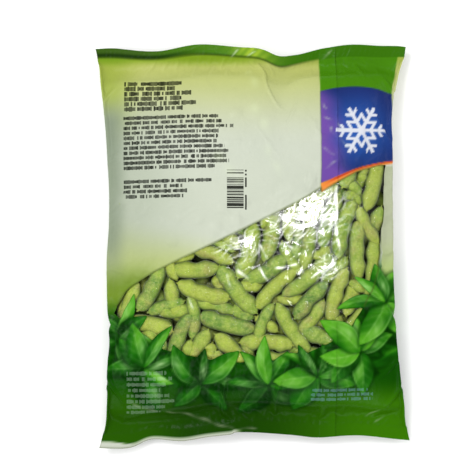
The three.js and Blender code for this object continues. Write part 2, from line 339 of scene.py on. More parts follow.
POD_LOOKS = np.random.default_rng(31)
FINE_PODS = 210  # the outermost, which have the finer mesh where the window shows them
FINE_PAST = 12.0  # how far outside the window their middles may be
FINE = dict(rings=24, sides=16)
COARSE = dict(rings=14, sides=10)
BEAK_LENGTH = 1.5  # of the dried tip beyond the pod's end
STALK_LENGTH = 1.4  # of the stub at the other end
DEPTH_OF_SWELL = 0.3  # how far the pod's thickness falls between two beans
RIDGE = 0.07  # how far the seam along either edge stands out, as a share of the width
LOPSIDED = 0.13  # how much further the beans swell one edge than the other
STALK_RADII, BODY_RADIUS, BEAK_RADII = [0.8, 0.9], 0.9, [0.7, 0.2]  # the least at each ring


def bean_swell(pod, s):
    """How far the beans bulge the pod at s, from 0 between two beans to each bean's own size."""
    bean = np.clip(np.floor((s / BEANS_REACH + 1) * pod.beans / 2), 0, pod.beans - 1).astype(int)
    return bean_wave(s, pod.beans) * pod.bean_sizes[bean]


def width_profile(pod, s):
    """The pod's width at s, as a share of the fullest. The end with the tip is the finer one."""
    taper = np.maximum(0, 1 - np.abs(s) ** (6.2 - 2.0 * s * pod.tip_side)) ** 0.52
    return taper * (0.86 + 0.14 * bean_swell(pod, s))


def depth_profile(pod, s):
    """The pod's thickness at s, as a share of the fullest."""
    taper = np.maximum(0, 1 - np.abs(s) ** 4.5) ** 0.55
    return taper * (1 - DEPTH_OF_SWELL + DEPTH_OF_SWELL * bean_swell(pod, s))


def give_looks(laid):
    """Draws what the fine shape and the colour of each pod need."""
    for pod, _ in laid:
        pod.bean_sizes = mix(0.55, 1, POD_LOOKS.random(pod.beans) ** 0.5)
        pod.tone = float(POD_LOOKS.random())
        pod.tip_side = 1 if POD_LOOKS.random() < 0.5 else -1
        pod.fuller_side = 1 if pod.bend > 0 else -1


def pod_skin(pod, at, side, rings, sides):
    """Vertices of a pod's rings, shape (rings, sides, 3), and their looks: tone, along, the beans' upper
    sides for a painted highlight, and nearness to the edges' seams for painted shade.
    """
    half = pod.length / 2
    body = -np.cos(np.pi * (np.arange(rings) + 0.5) / rings)
    beak = 1 + BEAK_LENGTH / half * np.array([0.25, 1.0])
    stalk = -1 - STALK_LENGTH / half * np.array([1.0, 0.2])
    s = np.concatenate([stalk, body, beak]) * pod.tip_side
    least = np.concatenate([STALK_RADII, np.full(rings, BODY_RADIUS), BEAK_RADII])
    inside = np.clip(s, -1, 1)
    wide = np.maximum(pod.width / 2 * width_profile(pod, inside), least)
    deep = np.maximum(pod.thick / 2 * depth_profile(pod, inside), least)
    angle = 2 * np.pi * np.arange(sides) / sides
    c, t = np.cos(angle)[None, :], np.sin(angle)[None, :]
    seam = np.abs(c) ** 12
    bow = pod_bow(pod, s)[:, None] + (np.abs(s[:, None]) > 1) * 0.5 * pod.tip_side
    forward = (s * half)[:, None] + 0 * c
    fuller = 1 + LOPSIDED * c * pod.fuller_side * (bean_swell(pod, inside)[:, None] - 0.4)
    sideways = bow + c * wide[:, None] * (1 + RIDGE * seam) * fuller
    up = at.slope * forward + at.lean * c * wide[:, None] + t * deep[:, None]
    x = at.x + forward * at.cos - sideways * at.sin
    y = at.y + forward * at.sin + sideways * at.cos
    z = side * (at.height + up)
    # the beans' upper sides, where the material paints a highlight
    lit_bean_top = bean_swell(pod, inside)[:, None] * np.maximum(0, t)
    end = np.abs(s)[:, None] ** 6 + 0 * c
    # nearness to the edges, for the painted shade on the pods' sides
    edge = np.abs(c) ** 3 + 0 * x
    looks = np.stack([np.full_like(x, pod.tone), np.clip(end, 0, 1.6) / 1.6, lit_bean_top, edge], -1)
    return np.stack([x, y, z], -1), looks


def ring_faces(rings, sides, first, flip):
    """Quads between rings of vertices, and one face on either end, as rows of vertex numbers."""
    grid = first + np.arange(rings * sides).reshape(rings, sides)
    turned = np.roll(grid, -1, 1)
    quads = np.stack([grid[:-1], grid[1:], turned[1:], turned[:-1]], -1).reshape(-1, 4)
    ends = [grid[0], grid[-1][::-1]]
    if flip:
        quads, ends = quads[:, ::-1], [e[::-1] for e in ends]
    return quads.tolist() + [e.tolist() for e in ends]


def room_below(pod, at):
    """How far the pod's underside is above the bag's lower film, where that is least."""
    x, y = plan_point(pod, at, STATIONS, 0)
    under = pod_face(pod, at, STATIONS, 0, pod_profile(STATIONS, pod.beans), -1)
    return float((under - floor_of(x, y)).min())


MAP_STEP = 1.0  # of the height map that the film is laid on
NO_POD = -100.0


def top_map(laid):
    """The highest pod face over each point of the plan, on a grid of MAP_STEP."""
    x = np.arange(-END_HALF_WIDTH, END_HALF_WIDTH + MAP_STEP, MAP_STEP)
    y = np.arange(-HALF_LENGTH, HALF_LENGTH + MAP_STEP, MAP_STEP)
    gx, gy = np.meshgrid(x, y)
    tops = np.full(gx.shape, NO_POD)
    for pod, at in laid:
        reach = pod.length / 2 + 2
        cols = slice(*np.searchsorted(x, [at.x - reach, at.x + reach]))
        rows = slice(*np.searchsorted(y, [at.y - reach, at.y + reach]))
        s, c, _, inside = pod_cover(pod, at, gx[rows, cols], gy[rows, cols])
        s = np.clip(s, -1, 1)
        face = pod_face(pod, at, s, c, pod_profile(s, pod.beans), 1, depth_profile(pod, s))
        height = np.where(inside, face, NO_POD)
        tops[rows, cols] = np.maximum(tops[rows, cols], height)
    for axis in (0, 1):  # a step wider all round, for the pods' tips and fine shape
        tops = np.maximum(tops, np.maximum(np.roll(tops, 1, axis), np.roll(tops, -1, axis)))
    return tops


def sample_map(heights, x, y):
    """The map's height at points of the plan, between its four nearest values."""
    rows, cols = heights.shape
    i = np.clip((x + END_HALF_WIDTH) / MAP_STEP, 0, cols - 1.001)
    j = np.clip((y + HALF_LENGTH) / MAP_STEP, 0, rows - 1.001)
    i0, j0 = i.astype(int), j.astype(int)
    fi, fj = i - i0, j - j0
    low = mix(heights[j0, i0], heights[j0, i0 + 1], fi)
    high = mix(heights[j0 + 1, i0], heights[j0 + 1, i0 + 1], fi)
    return mix(low, high, fj)


# ---- outline of the clear window, on the plan

WINDOW_TOP = [(-109, -55), (-97, -35), (-65, -16), (-27, 2), (34, 32.3), (54.8, 44.8)]
SEAM_STEP = [(54.8, 44.8), (55.2, 40.6)]  # where the lap's print doesn't meet the print beside it
WINDOW_STRIPE = [(55.2, 40.6), (67, 48.6), (83.4, 57), (106, 63)]
WINDOW_SIDE = [(106, 63), (105, 24), (98, -31), (78, -68)]
WINDOW_BOTTOM = [(78, -68), (40, -88), (-20, -93), (-78, -80), (-109, -55)]


def curve_through(points, steps=8):
    """A smooth line through the points, with the given steps between two of them."""
    p = np.array([points[0], *points, points[-1]], float)
    t = np.arange(steps)[:, None] / steps
    line = []
    for a, b, c, d in zip(p, p[1:], p[2:], p[3:]):
        into, out = (c - a) / 2, (d - b) / 2
        cubic, square = 2 * b - 2 * c + into + out, 3 * c - 3 * b - 2 * into - out
        line.append(cubic * t**3 + square * t**2 + into * t + b)
    return np.concatenate(line + [p[-1:]])


def line_at(points, x):
    """Height at x of the smooth line through the points."""
    line = curve_through(points)
    return np.interp(x, line[:, 0], line[:, 1])


def window_inside(x, y):
    """Distance into the window from its outline, below 0 outside it."""
    curves = (WINDOW_TOP, SEAM_STEP, WINDOW_STRIPE, WINDOW_SIDE, WINDOW_BOTTOM)
    outline = np.concatenate([curve_through(c)[:-1] for c in curves])
    shape, x, y = x.shape, x.ravel(), y.ravel()
    nearest = np.full(x.shape, 1e9)
    inside = np.zeros(x.shape, bool)
    for (ax, ay), (bx, by) in zip(outline, np.roll(outline, -1, 0)):
        dx, dy = bx - ax, by - ay
        t = np.clip(((x - ax) * dx + (y - ay) * dy) / (dx * dx + dy * dy), 0, 1)
        nearest = np.minimum(nearest, (x - ax - t * dx) ** 2 + (y - ay - t * dy) ** 2)
        crossing = (ay > y) != (by > y)
        inside ^= crossing & (x < ax + (y - ay) / (by - ay if by != ay else 1) * dx)
    return (np.sqrt(nearest) * np.where(inside, 1, -1)).reshape(shape)


# ---- the gaps in the window's layer of pods

FILLER_SEED, FILLERS, FILLER_TRIES = 3, 150, 700
FILLER_LENGTHS = (34.0, 13.0)  # of the first and the last one tried
FILLER_WIDTH, FILLER_THICKNESS, FILLER_BEND = (9.6, 12.4), (8.4, 9.6), (0.1, 0.35)
FILLER_SINK = (0.6, 3.4)  # how far they are below the layer
FILLER_X, FILLER_Y = (-105, 105), (-90, 62)
FILLER_PAST = 4.0  # how far outside the window's outline their middles may be
SHALLOW, DEEPEST_WORTH, LEAST_WORTH = 3.0, 5.0, 1.5  # of the gap that a filler is for
UNWANTED = -100.0  # the worth of a place where no filler may be


def fill_gaps(laid):
    """Short pods for the deeper gaps between the pods that the window shows."""
    rng = np.random.default_rng(FILLER_SEED)
    tops = top_map(laid)
    fillers = []
    for n in range(FILLERS):
        pod = SimpleNamespace(
            beans=2,
            length=mix(*FILLER_LENGTHS, n / FILLERS),
            width=rng.uniform(*FILLER_WIDTH),
            thick=rng.uniform(*FILLER_THICKNESS),
            bend=rng.choice([-1, 1]) * rng.uniform(*FILLER_BEND),
        )
        x, y = rng.uniform(*FILLER_X, FILLER_TRIES), rng.uniform(*FILLER_Y, FILLER_TRIES)
        heading, sink = rng.uniform(0, 2 * np.pi, FILLER_TRIES), rng.uniform(*FILLER_SINK)
        at = SimpleNamespace(x=x, y=y, cos=np.cos(heading), sin=np.sin(heading))
        px, py = plan_point(pod, widened(at), STATIONS[None, :, None], RIBS[None, None, :])
        gap = roof_of(px, py) - sample_map(tops, px, py) - SHALLOW
        worth = np.clip(gap, -2 * DEEPEST_WORTH, DEEPEST_WORTH).mean((1, 2))
        shown = inside_heap(px, py).all((1, 2)) & (window_inside(x, y) > -FILLER_PAST)
        best = int(np.argmax(np.where(shown, worth, UNWANTED)))
        if worth[best] < LEAST_WORTH:
            continue
        place = chosen(at, best)
        place.slope, place.lean = (
            float(roof_of(place.x + dx, place.y + dy) - roof_of(place.x - dx, place.y - dy)) / 2
            for dx, dy in ((place.cos, place.sin), (-place.sin, place.cos))
        )
        rise = pod.thick / 2 * pod_profile(STATIONS, pod.beans) + place.slope * STATIONS * pod.length / 2
        place.height = float((roof_of(*plan_point(pod, place, STATIONS, 0)) - rise).min()) - sink
        fillers.append((pod, place))
        give_looks(fillers[-1:])
        tops = np.maximum(tops, top_map(fillers[-1:]))
    return fillers


def heap_of_pods():
    """The pods under the upper film, and those over the lower one."""
    upper = [laid for laid in lay_pods(roof_of, **UPPER) if room_below(*laid) > 0]
    lower = lay_pods(lambda x, y: -floor_of(x, y), **LOWER)
    give_looks(upper)
    give_looks(lower)
    return fill_gaps(upper) + upper, lower


# ---- how the film's edges stand out from the formula
# Millimetres out of the formula's outline: for the ends by x, for the sides by y.

TOP_TRIM = [
    (-122, 3), (-106, 4), (-74, 0), (-42, 3.2), (-5, 0), (24, 1.2), (41, -3.2), (60, 0), (84, 2.6),
    (122, -0.8),
]
BOTTOM_TRIM = [
    (-122, -4.6), (-103, -5.6), (-94, -4.6), (-83, -0.4), (-74, -0.4), (-55, -4), (-36, -3.2), (-17, -2.6),
    (-9, -1), (31, -2.4), (55, -4.2), (89, 0), (122, 0.4),
]
LEFT_TRIM = [
    (-159, 0.8), (-110, -1.4), (-77, 1), (-45, -0.2), (-12, -0.6), (16, 1), (40, 1), (67, -0.8), (83, -2),
    (99, -3.4), (115, -4.8), (131, -5.6), (150, -2.8), (159, -1.6),
]
RIGHT_TRIM = [
    (-159, 4.8), (-141, 7.2), (-125, 8), (-93, 4), (-60, 1), (0, -1), (100, -1.4), (131, 2.4), (147, 4),
    (159, 1.6),
]


def trim(points, across, along):
    """Moves points of the bag's form out to its real outline. The middle stays."""
    x, y = points[..., 0].copy(), points[..., 1].copy()
    sideways = np.where(across > 0, line_at(RIGHT_TRIM, y), line_at(LEFT_TRIM, y))
    endways = np.where(along > 0, line_at(TOP_TRIM, x), line_at(BOTTOM_TRIM, x))
    points[..., 0] += sideways * np.abs(across) ** 4
    points[..., 1] += endways * np.abs(along) ** 8


# ---- the film, simulated as a closed tube
# Columns run round the tube, from the middle of the underside, up the left side, across the upper face and
# back under the right side. Rows run from the bottom weld to the top one. Every edge has the length that it
# has on the bag's smooth form, and a little slack, which gathers into folds and crinkles.

FILM_SEED, CREASE_SEED = 8, 4
FILM_GAP = 0.35  # between the film and the pods that it touches
FLOOR_GAP = 0.05  # between the film and what the bag lies on
FACE_GAP = 0.1  # between the film's two faces
LEVELS = [(60, 80, 170), (120, 160, 90), (240, 320, 36)]  # columns of a face, rows, steps
PROJECTIONS = 4  # passes over all edges in a step
EDGES = [  # rows and columns between an edge's ends, how stiff it is, and whether it only pushes
    ((0, 1), 1.0, False),
    ((1, 0), 1.0, False),
    ((1, 1), 0.6, False),
    ((1, -1), 0.6, False),
    ((0, 2), 0.3, True),
    ((2, 0), 0.3, True),
]
DAMPING = 0.9
SAG = 0.005  # fall in a step, as a share of the level's spacing
ROUGHNESS = 0.07  # of the sheet that a level starts from, as a share of its spacing
HOLD_UNDER, HOLD_SIDE, HOLD_WELD, HOLD_MIDDLE = 0.5, 0.06, 0.12, 1.0  # how far a step goes back to the form
LOOSE_PLACES = [(39, 26, 22, 1.0), (-7, 0, 12, 0.7), (60, -18, 10, 0.4)]  # x, y, radius and how loose
LOOSE_WIDER, LOOSE_SAG = 1.25, 0.5  # how much wider than high they are, and how far the film sags there
CREASES, CREASE_SPACING, CREASE_SLOPE = 6, (7.0, 22.0), 0.14  # of the crumpled film there
FOLDS = [  # both ends of a fold on the plan, its height and half width, and the strength of the painted highlight along its ridge
    (67, 47, 67, 6, 1.3, 1.7, 0.75),
    (67, 6, 71, -6, 0.9, 1.3, 0.7),
    (-70, -133, -13, -148, 0.8, 1.4, 0.13),
    (-10, -148, 6, -147, 0.5, 1.2, 0.1),
    (0, 112, 16, 86, 0.2, 6, 0.14),
    (-30, 74, -8, 48, 0.2, 6, 0.12),
    (10, 80, 24, 52, 0.2, 5, 0.1),
    (-4, 140, 6, 122, 0.2, 5, 0.12),
    (-17, 149, -9, 156, 0.5, 0.9, 0.5),
    (-4, 150, 5, 154, 0.5, 0.8, 0.5),
    (57, 148, 66, 156, 0.4, 0.8, 0.3),
    (-96, -126, -72, -134, 0.6, 1.2, 0.12),
    (7, 1, 12, -12, 0.8, 1.2, 0.6),
    (18, -19, 37, -16, 0.8, 1.3, 0.7),
    (46, -27, 68, -14, 0.9, 1.5, 0.65),
    (4, -15, 14, -30, 0.8, 1.2, 0.65),
    (-12, -19, -2, -28, 0.9, 1.8, 0.6),
    (-20, -23, -16, -34, 0.7, 1.1, 0.5),
    (-12, 1, 0, 7, 0.9, 1.6, 0.6),
    (-50, -40, -46, -53, 0.5, 0.9, 0.35),
    (-32, -8, -22, -3, 0.5, 1.0, 0.4),
    (20, 2, 34, -4, 0.9, 1.3, 0.5),
    (56, 112, 60, 106, 0.4, 0.9, 0.34),
    (57, 101, 64, 98, 0.4, 1.0, 0.24),
    (61, 94, 65, 87, 0.4, 0.8, 0.3),
    (68, 96, 72, 88, 0.4, 0.9, 0.34),
    (70, 85, 77, 75, 0.4, 1.3, 0.16),
    (56, 77, 66, 70, 0.4, 1.2, 0.22),
    (58, 60, 67, 66, 0.4, 1.0, 0.26),
    (92, -140, 104, -131, 0.4, 0.8, 0.2),
    (99, -144, 108, -138, 0.4, 0.8, 0.16),
]
PRINT_SAG, WINDOW_SAG, SIDE_SAG, END_SAG = 2.1, 6.0, 3.0, 6.0  # mm below the smooth form at most
SLACK, PATCH_SLACK, LOOSE_SLACK = 0.006, 0.010, 0.004  # everywhere, in patches and at the loose places
WELD_SLACK, SIDE_SLACK = 0.013, 0.012  # near the welds and the sides, as shares of the film's length
FINE_STEPS = 4001  # for measuring along the smooth form


def upper_columns(columns):
    """The tube's columns on the upper face, with both sides' edges."""
    return slice(columns // 2, columns // 2 + columns + 1)


def under_columns(columns, step=1):
    """The tube's columns under those of the upper face, from left to right."""
    half = columns // 2
    left, right = np.arange(half, -1, -step), np.arange(2 * columns - step, half + columns - 1, -step)
    return np.concatenate([left, right])


def evenly(values, runs, count):
    """Values at count + 1 even steps along a line, for the runs between its points."""
    length = np.concatenate([[0], np.cumsum(runs)])
    return np.interp(np.linspace(0, length[-1], count + 1), length, values)


def face_places(columns):
    """Evenly spaced places across the upper and the lower face, measured along the film at mid-length."""
    a = np.sin(np.linspace(-1, 1, FINE_STEPS) * np.pi / 2)
    return [
        evenly(a, np.hypot(np.diff(a * MID_HALF_WIDTH), np.diff(height(a, 0 * a))), columns)
        for height in (top_height, bottom_height)
    ]


def row_places(rows):
    v = np.linspace(-1, 1, FINE_STEPS)
    line = point_at(0 * v, v, top_height)
    return evenly(v, np.linalg.norm(np.diff(line, axis=0), axis=1), rows)


def smooth_tube(columns, rows):
    """The film on the bag's smooth form: positions (rows + 1, 2 columns + 1, 3), and across and along."""
    upper, lower = face_places(columns)
    half = columns // 2
    across = np.concatenate([lower[half::-1], upper[1:-1], lower[:half - 1:-1]])
    along = row_places(rows)[:, None] + 0 * across[None, :]
    across = across[None, :] + 0 * along
    points = point_at(across, along, bottom_height)
    middle = slice(half + 1, half + columns)
    points[:, middle] = point_at(across[:, middle], along[:, middle], top_height)
    for side in (half, half + columns):
        points[:, side] = point_at(across[:, side], along[:, side], middle_height)
    trim(points, across, along)
    return points, across, along


def slack_of(across, along):
    """How much longer than the smooth form the film is there, across and along the bag."""
    near_weld = smooth(0.62, 0.97, np.abs(along))
    near_side = smooth(0.6, 1.0, np.abs(across))
    x = across * half_width(along)
    patch = 0.5 + 0.5 * np.sin(0.045 * x + 1.1 * np.sin(2.9 * along) + 0.6) * np.sin(5.1 * along + 0.02 * x)
    y = mix(bottom_end(x), top_end(x), (along + 1) / 2)
    loose = looseness(x, y)
    calm = 1 - 0.85 * smooth(10, -20, x) * smooth(-10, 25, y) * smooth(142, 130, y)
    across_more = calm * (SLACK + PATCH_SLACK * patch) + WELD_SLACK * near_weld + LOOSE_SLACK * loose
    return across_more, calm * (SLACK + PATCH_SLACK * patch + SIDE_SLACK * near_side) + LOOSE_SLACK * loose


def looseness(x, y):
    """1 where the film is loosest, in the window's top corner, falling to 0 around the loose places."""
    spots = [
        much * bump(np.hypot((x - cx) / LOOSE_WIDER, y - cy), 0, radius)
        for cx, cy, radius, much in LOOSE_PLACES
    ]
    return np.max(spots, axis=0)


def sag_limit(across, along, x, y):
    """How far the film may fall below the smooth form there. The bag's air holds it up over the print."""
    wave = np.sin(0.05 * x + 0.04 * y + 1.5 * np.sin(0.021 * y - 0.013 * x))
    wave = wave * np.sin(0.033 * y - 0.028 * x + 1)
    limit = mix(PRINT_SAG + 0.8 * wave, WINDOW_SAG, smooth(-30, 18, window_inside(x, y)))
    limit = mix(limit, LOOSE_SAG, smooth(0.25, 0.7, looseness(x, y)))
    limit = mix(limit, SIDE_SAG, smooth(0.86, 0.95, np.abs(across)))
    return limit + END_SAG * smooth(0.82, 0.94, np.abs(along))


def pair_views(values, gap, start, period):
    """The two ends of every period-th pair of points that are gap apart, as views."""
    dr, dk = gap
    rows, cols = values.shape[:2]
    if dr == 0:
        return values[:, start : cols - dk : period], values[:, start + dk :: period]
    first = slice(max(0, -dk), cols - max(0, dk))
    second = slice(max(0, dk), cols - max(0, -dk))
    return values[start : rows - dr : period, first], values[start + dr :: period, second]


def rest_lengths(points, slack_across, slack_along):
    rests = []
    for gap, _, _ in EDGES:
        even = (slack_across + slack_along) / 2
        slack = slack_across if gap[0] == 0 else slack_along if gap[1] == 0 else even
        a, b = pair_views(points, gap, 0, 1)
        more, _ = pair_views(slack, gap, 0, 1)
        rests.append((np.linalg.norm(b - a, axis=-1) * (1 + more)).astype(np.float32))
    return rests


def pull(points, rests, gap, stiffness, only_push):
    """Moves the ends of all edges of one kind to or from each other, towards their rest lengths."""
    period = 2 * max(gap)
    for start in range(period):
        a, b = pair_views(points, gap, start, period)
        rest = rests[:, start::period] if gap[0] == 0 else rests[start::period]
        between = b - a
        length = np.sqrt(np.einsum("ijk,ijk->ij", between, between)) + 1e-6
        share = (length - rest) / length * np.float32(stiffness / 2)
        if only_push:
            share = np.minimum(share, 0)
        between *= share[..., None]
        a += between
        b -= between


def finer(values):
    """The field on a grid twice as fine, through its points."""
    for axis in (0, 1):
        values = np.moveaxis(values, axis, 0)
        before = np.concatenate([values[:1], values[:-2]])
        after = np.concatenate([values[2:], values[-1:]])
        between = (9 * (values[:-1] + values[1:]) - before - after) / 16
        full = np.empty((2 * len(values) - 1,) + values.shape[1:], values.dtype)
        full[::2], full[1::2] = values, between
        values = np.moveaxis(full, 0, axis)
    return values


def settle(columns, rows, steps, shift, tops, rng):
    """Lays the tube over the pods at one level of fineness, starting shifted from its smooth form."""
    smooth_form, across, along = smooth_tube(columns, rows)  # kept at full precision
    rests = rest_lengths(smooth_form, *slack_of(across, along))
    form = smooth_form.astype(np.float32)
    points = form.copy() if shift is None else form + finer(shift)
    spacing = BAG_LENGTH / rows
    points[..., 2] += rng.normal(0, ROUGHNESS * spacing, points.shape[:2]).astype(np.float32)
    upper, under = upper_columns(columns), under_columns(columns)
    welded = np.abs(along[:, 0]) > WELD_START
    hold = HOLD_UNDER * (1 - np.abs(across) ** 6)
    hold[:, upper] = 0.0
    hold[:, [upper.start, upper.stop - 1]] = HOLD_SIDE
    hold[welded] = HOLD_WELD
    hold[:, [0, -1]] = HOLD_MIDDLE
    hold = hold[..., None].astype(np.float32)
    face_form = form[:, upper]
    limit = sag_limit(across[:, upper], along[:, upper], face_form[..., 0], face_form[..., 1])
    least = face_form[..., 2] - limit
    fall = np.zeros(points.shape[:2], np.float32)
    fall[:, upper] = SAG * spacing
    before = points.copy()
    for _ in range(steps):
        before, points = points, points + (points - before) * np.float32(DAMPING)
        points[..., 2] -= fall
        for _ in range(PROJECTIONS):
            for rest, (gap, stiffness, only_push) in zip(rests, EDGES):
                pull(points, rest, gap, stiffness, only_push)
        points += (form - points) * hold
        face = points[:, upper]
        back = points[:, under]
        floor = sample_map(tops, face[..., 0], face[..., 1]) + FILM_GAP
        floor = np.maximum(np.maximum(floor, least), back[..., 2] + FACE_GAP)
        face[..., 2] = np.maximum(face[..., 2], floor)
        mean = (face[welded] + back[welded]) / 2
        points[np.ix_(welded, under)] = mean - [0, 0, FACE_GAP / 2]
        face[welded] = mean + [0, 0, FACE_GAP / 2]
        points[..., 2] = np.maximum(points[..., 2], FLOOR_GAP)
    return points, smooth_form, across, along


def crumple(x, y, rng):
    """The sharp little creases of the loose film by the seam, and the single folds: their height, and how
    near each point is to one of the creases or fold ridges, from 0 to 1, which the materials paint as a
    highlight."""
    inside = smooth(-3, 4, window_inside(x, y))
    where = looseness(x, y) + 0.08 * inside
    height, crease_glint = np.zeros_like(x), np.zeros_like(x)
    for _ in range(CREASES):
        turn, phase, bow = rng.uniform(1.1, 2.7), rng.uniform(0, np.pi), rng.uniform(0.4, 1.1)
        wave = rng.uniform(*CREASE_SPACING)
        run = x * np.cos(turn) + y * np.sin(turn)
        aside = y * np.cos(turn) - x * np.sin(turn)
        fold = np.abs(np.sin(np.pi * run / wave + phase + bow * np.sin(aside * 2.3 / wave)))
        height += CREASE_SLOPE * wave / np.pi * fold
        # painted highlight along the loose film's creases
        crease_glint = np.maximum(crease_glint, smooth(0.22, 0.02, fold) * (0.5 + 0.5 * np.sin(aside * 5 / wave + phase)))
    height, crease_glint = height * where, crease_glint * looseness(x, y) * inside
    for ax, ay, bx, by, tall, wide, white in FOLDS:
        length = np.hypot(bx - ax, by - ay)
        run = ((x - ax) * (bx - ax) + (y - ay) * (by - ay)) / length
        aside = ((y - ay) * (bx - ax) - (x - ax) * (by - ay)) / length + 0.5 * np.sin(run / 3 + ax)
        ends = smooth(-2, 3, run) * smooth(length + 2, length - 3, run) * (0.8 + 0.2 * np.sin(run / 2.2 + ay))
        ridge = bump(aside, 0, wide) * ends
        height = height + tall * ridge
        # painted highlight along the fold's ridge
        crease_glint = np.maximum(crease_glint, white * ridge**2.5)
    return height, crease_glint


def lay_film(tops):
    """The film, settled on the pods level by level, and then creased."""
    rng = np.random.default_rng(FILM_SEED)
    shift = None
    levels = LEVELS
    for columns, rows, steps in levels:
        points, form, across, along = settle(columns, rows, steps, shift, tops, rng)
        shift = (points - form).astype(np.float32)
    upper = upper_columns(columns)
    crease_glint = np.zeros(points.shape[:2])
    x, y = form[:, upper, 0], form[:, upper, 1]
    more, crease_glint[:, upper] = crumple(x, y, np.random.default_rng(CREASE_SEED))
    points[:, upper, 2] += more
    return SimpleNamespace(points=points, form=form, along=along, crease_glint=crease_glint, columns=columns)


# ---- the print, painted by formula over the plan
# Colours are sRGB, x and y millimetres on the plan. Each coat covers what is under it by its mask.

CREAM, CREAM_TOP, CREAM_RIM = (0.82, 0.845, 0.775), (0.755, 0.785, 0.43), (0.48, 0.62, 0.10)
CREAM_LOW, CREAM_TIP, CREAM_PAINTED_SHADE = (0.75, 0.80, 0.50), (0.46, 0.58, 0.16), (0.56, 0.61, 0.52)
CREAM_LEFT, PANEL_GREEN, WELD_SHADOW = (0.56, 0.65, 0.17), (0.285, 0.54, 0.05), (0.07, 0.17, 0.01)
WELD_LEFT, WELD_MID, WELD_RIGHT = (0.24, 0.38, 0.10), (0.29, 0.50, 0.09), (0.23, 0.46, 0.03)
WELD_HIGHLIGHT, LIP, LIP_EDGE_SHADOW = (0.66, 0.78, 0.22), (0.82, 0.84, 0.78), (0.55, 0.58, 0.48)
BLUE, NAVY, VIOLET = (0.16, 0.36, 0.70), (0.12, 0.14, 0.36), (0.46, 0.31, 0.66)
WHITE, ORANGE, RED = (0.89, 0.90, 0.94), (0.95, 0.57, 0.25), (0.80, 0.27, 0.15)
PALE_EDGE, PALE_LOW, WINDOW_RIM = (0.74, 0.77, 0.64), (0.70, 0.80, 0.42), (0.30, 0.36, 0.14)
FIELD_DARK, FIELD_GREEN, FIELD_LIGHT = (0.10, 0.27, 0.0), (0.07, 0.32, 0.0), (0.26, 0.53, 0.0)
LEAF_DARK, LEAF_MID = (0.02, 0.20, 0.0), (0.09, 0.40, 0.02)
LEAF_BRIGHT, LEAF_SHINE = (0.33, 0.65, 0.12), (0.74, 0.90, 0.62)
INK_LEVEL = 0.74  # how bright the inks are under the scene's light
SEAM_INK = 1.06  # how much brighter they are on the seam's second layer

BADGE_RIGHT = 112.0  # on the plan
STRIPE = (8.2, 2.2)  # height of the stripe under the badge, at its left and right end
SNOWFLAKE = (87, 90, 20.0)  # its middle and the length of its arms
SNOW_BRANCHES = ((0.36, 0.34), (0.68, 0.25))  # where they leave an arm and their reach, as shares of it

LEAF_SEED, BLURRED_LEAVES, SPRIGS = 12, 60, 7
LEAF_LINE = [(-118, -62), (-84, -98), (-24, -112), (44, -106), (86, -86), (112, -34)]  # where they grow from
BROAD, FAN = (-122, 128), (-82, 80, -44, 40, -3)  # each leaf's degrees from the way into the window
LEAVES_TOP = 20  # no leaf reaches higher


def leaf(x, y, width, length, heading, bend, blur, shade, lit):
    heading = math.radians(heading)
    return SimpleNamespace(
        x=x, y=y, cos=math.cos(heading), sin=math.sin(heading),
        width=width, length=length, bend=bend, blur=blur, shade=shade, lit=lit,
    )


def along_leaf_line(share):
    """A place on the line that the leaves grow from, and the way into the window there, in degrees."""
    line = curve_through(LEAF_LINE, 12)
    at = share * (len(line) - 1.001)
    low = int(at)
    (ax, ay), (bx, by) = line[low], line[low + 1]
    return mix(ax, bx, at - low), mix(ay, by, at - low), math.degrees(math.atan2(bx - ax, ay - by))


def leaf_print():
    """Blurred leaves of the background, and sharp ones in sprigs along the window: two broad leaves lying
    low, then the sprig's fan, its middle leaf on top."""
    rng = np.random.default_rng(LEAF_SEED)
    draw = rng.uniform
    blurred, broad, fans = [], [], []
    for _ in range(BLURRED_LEAVES):
        x, y = draw(-118, 118), draw(-116, -84)
        y += 46 * smooth(60, 112, x) * rng.random()
        blur, width, length, heading = draw(1.6, 3.4), draw(7, 13), draw(18, 38), draw(-15, 195)
        blurred.append(leaf(x, y, width, length, heading, draw(-4, 4), blur, draw(0, 0.45), 1))
    for n in range(SPRIGS):
        x, y, way = along_leaf_line((n + draw(0.35, 0.65)) / SPRIGS)
        lean, bright = draw(-14, 14), 0.36 * smooth(30, 80, x)
        for spread in BROAD:
            length = draw(26, 38)
            width = length * draw(0.5, 0.62)
            heading, shade = way + lean + spread + draw(-12, 12), draw(0.3, 0.65) + bright
            broad.append(leaf(x, y, width, length, heading, draw(-3, 3), 0.9, shade, draw(-1, 1)))
        for spread in FAN:
            length = draw(25, 41)
            width = length * draw(0.2, 0.46) + 1.5
            heading, shade = way + lean + spread + draw(-9, 9), draw(0.15, 0.95) + bright
            fans.append(leaf(x, y, width, length, heading, draw(-4, 4), 0.8, shade, draw(-1, 1)))
    return blurred, broad + fans


BLURRED, SHARP = leaf_print()


def leaf_frame(one, x, y):
    """Place on a leaf: along from 0 to 1, aside in mm, and how far the point is inside its outline."""
    dx, dy = x - one.x, y - one.y
    along = (dx * one.cos + dy * one.sin) / one.length
    inside = np.clip(along, 0, 1)
    aside = dy * one.cos - dx * one.sin - one.bend * 4 * inside * (1 - inside)
    half = one.width / 2 * np.sin(np.pi * inside**0.8) ** 0.85
    past = np.maximum(np.maximum(-along, along - 1), 0) * one.length
    return along, aside, half - np.abs(aside) - past


def tint(low, high, share):
    """A colour between two, for the share at each point."""
    return mix(np.array(low), np.array(high), share[..., None])


def coat(ink, colour, mask):
    """Covers the ink with a colour, or with a colour for each point."""
    ink += (np.array(colour, float) - ink) * mask[..., None]


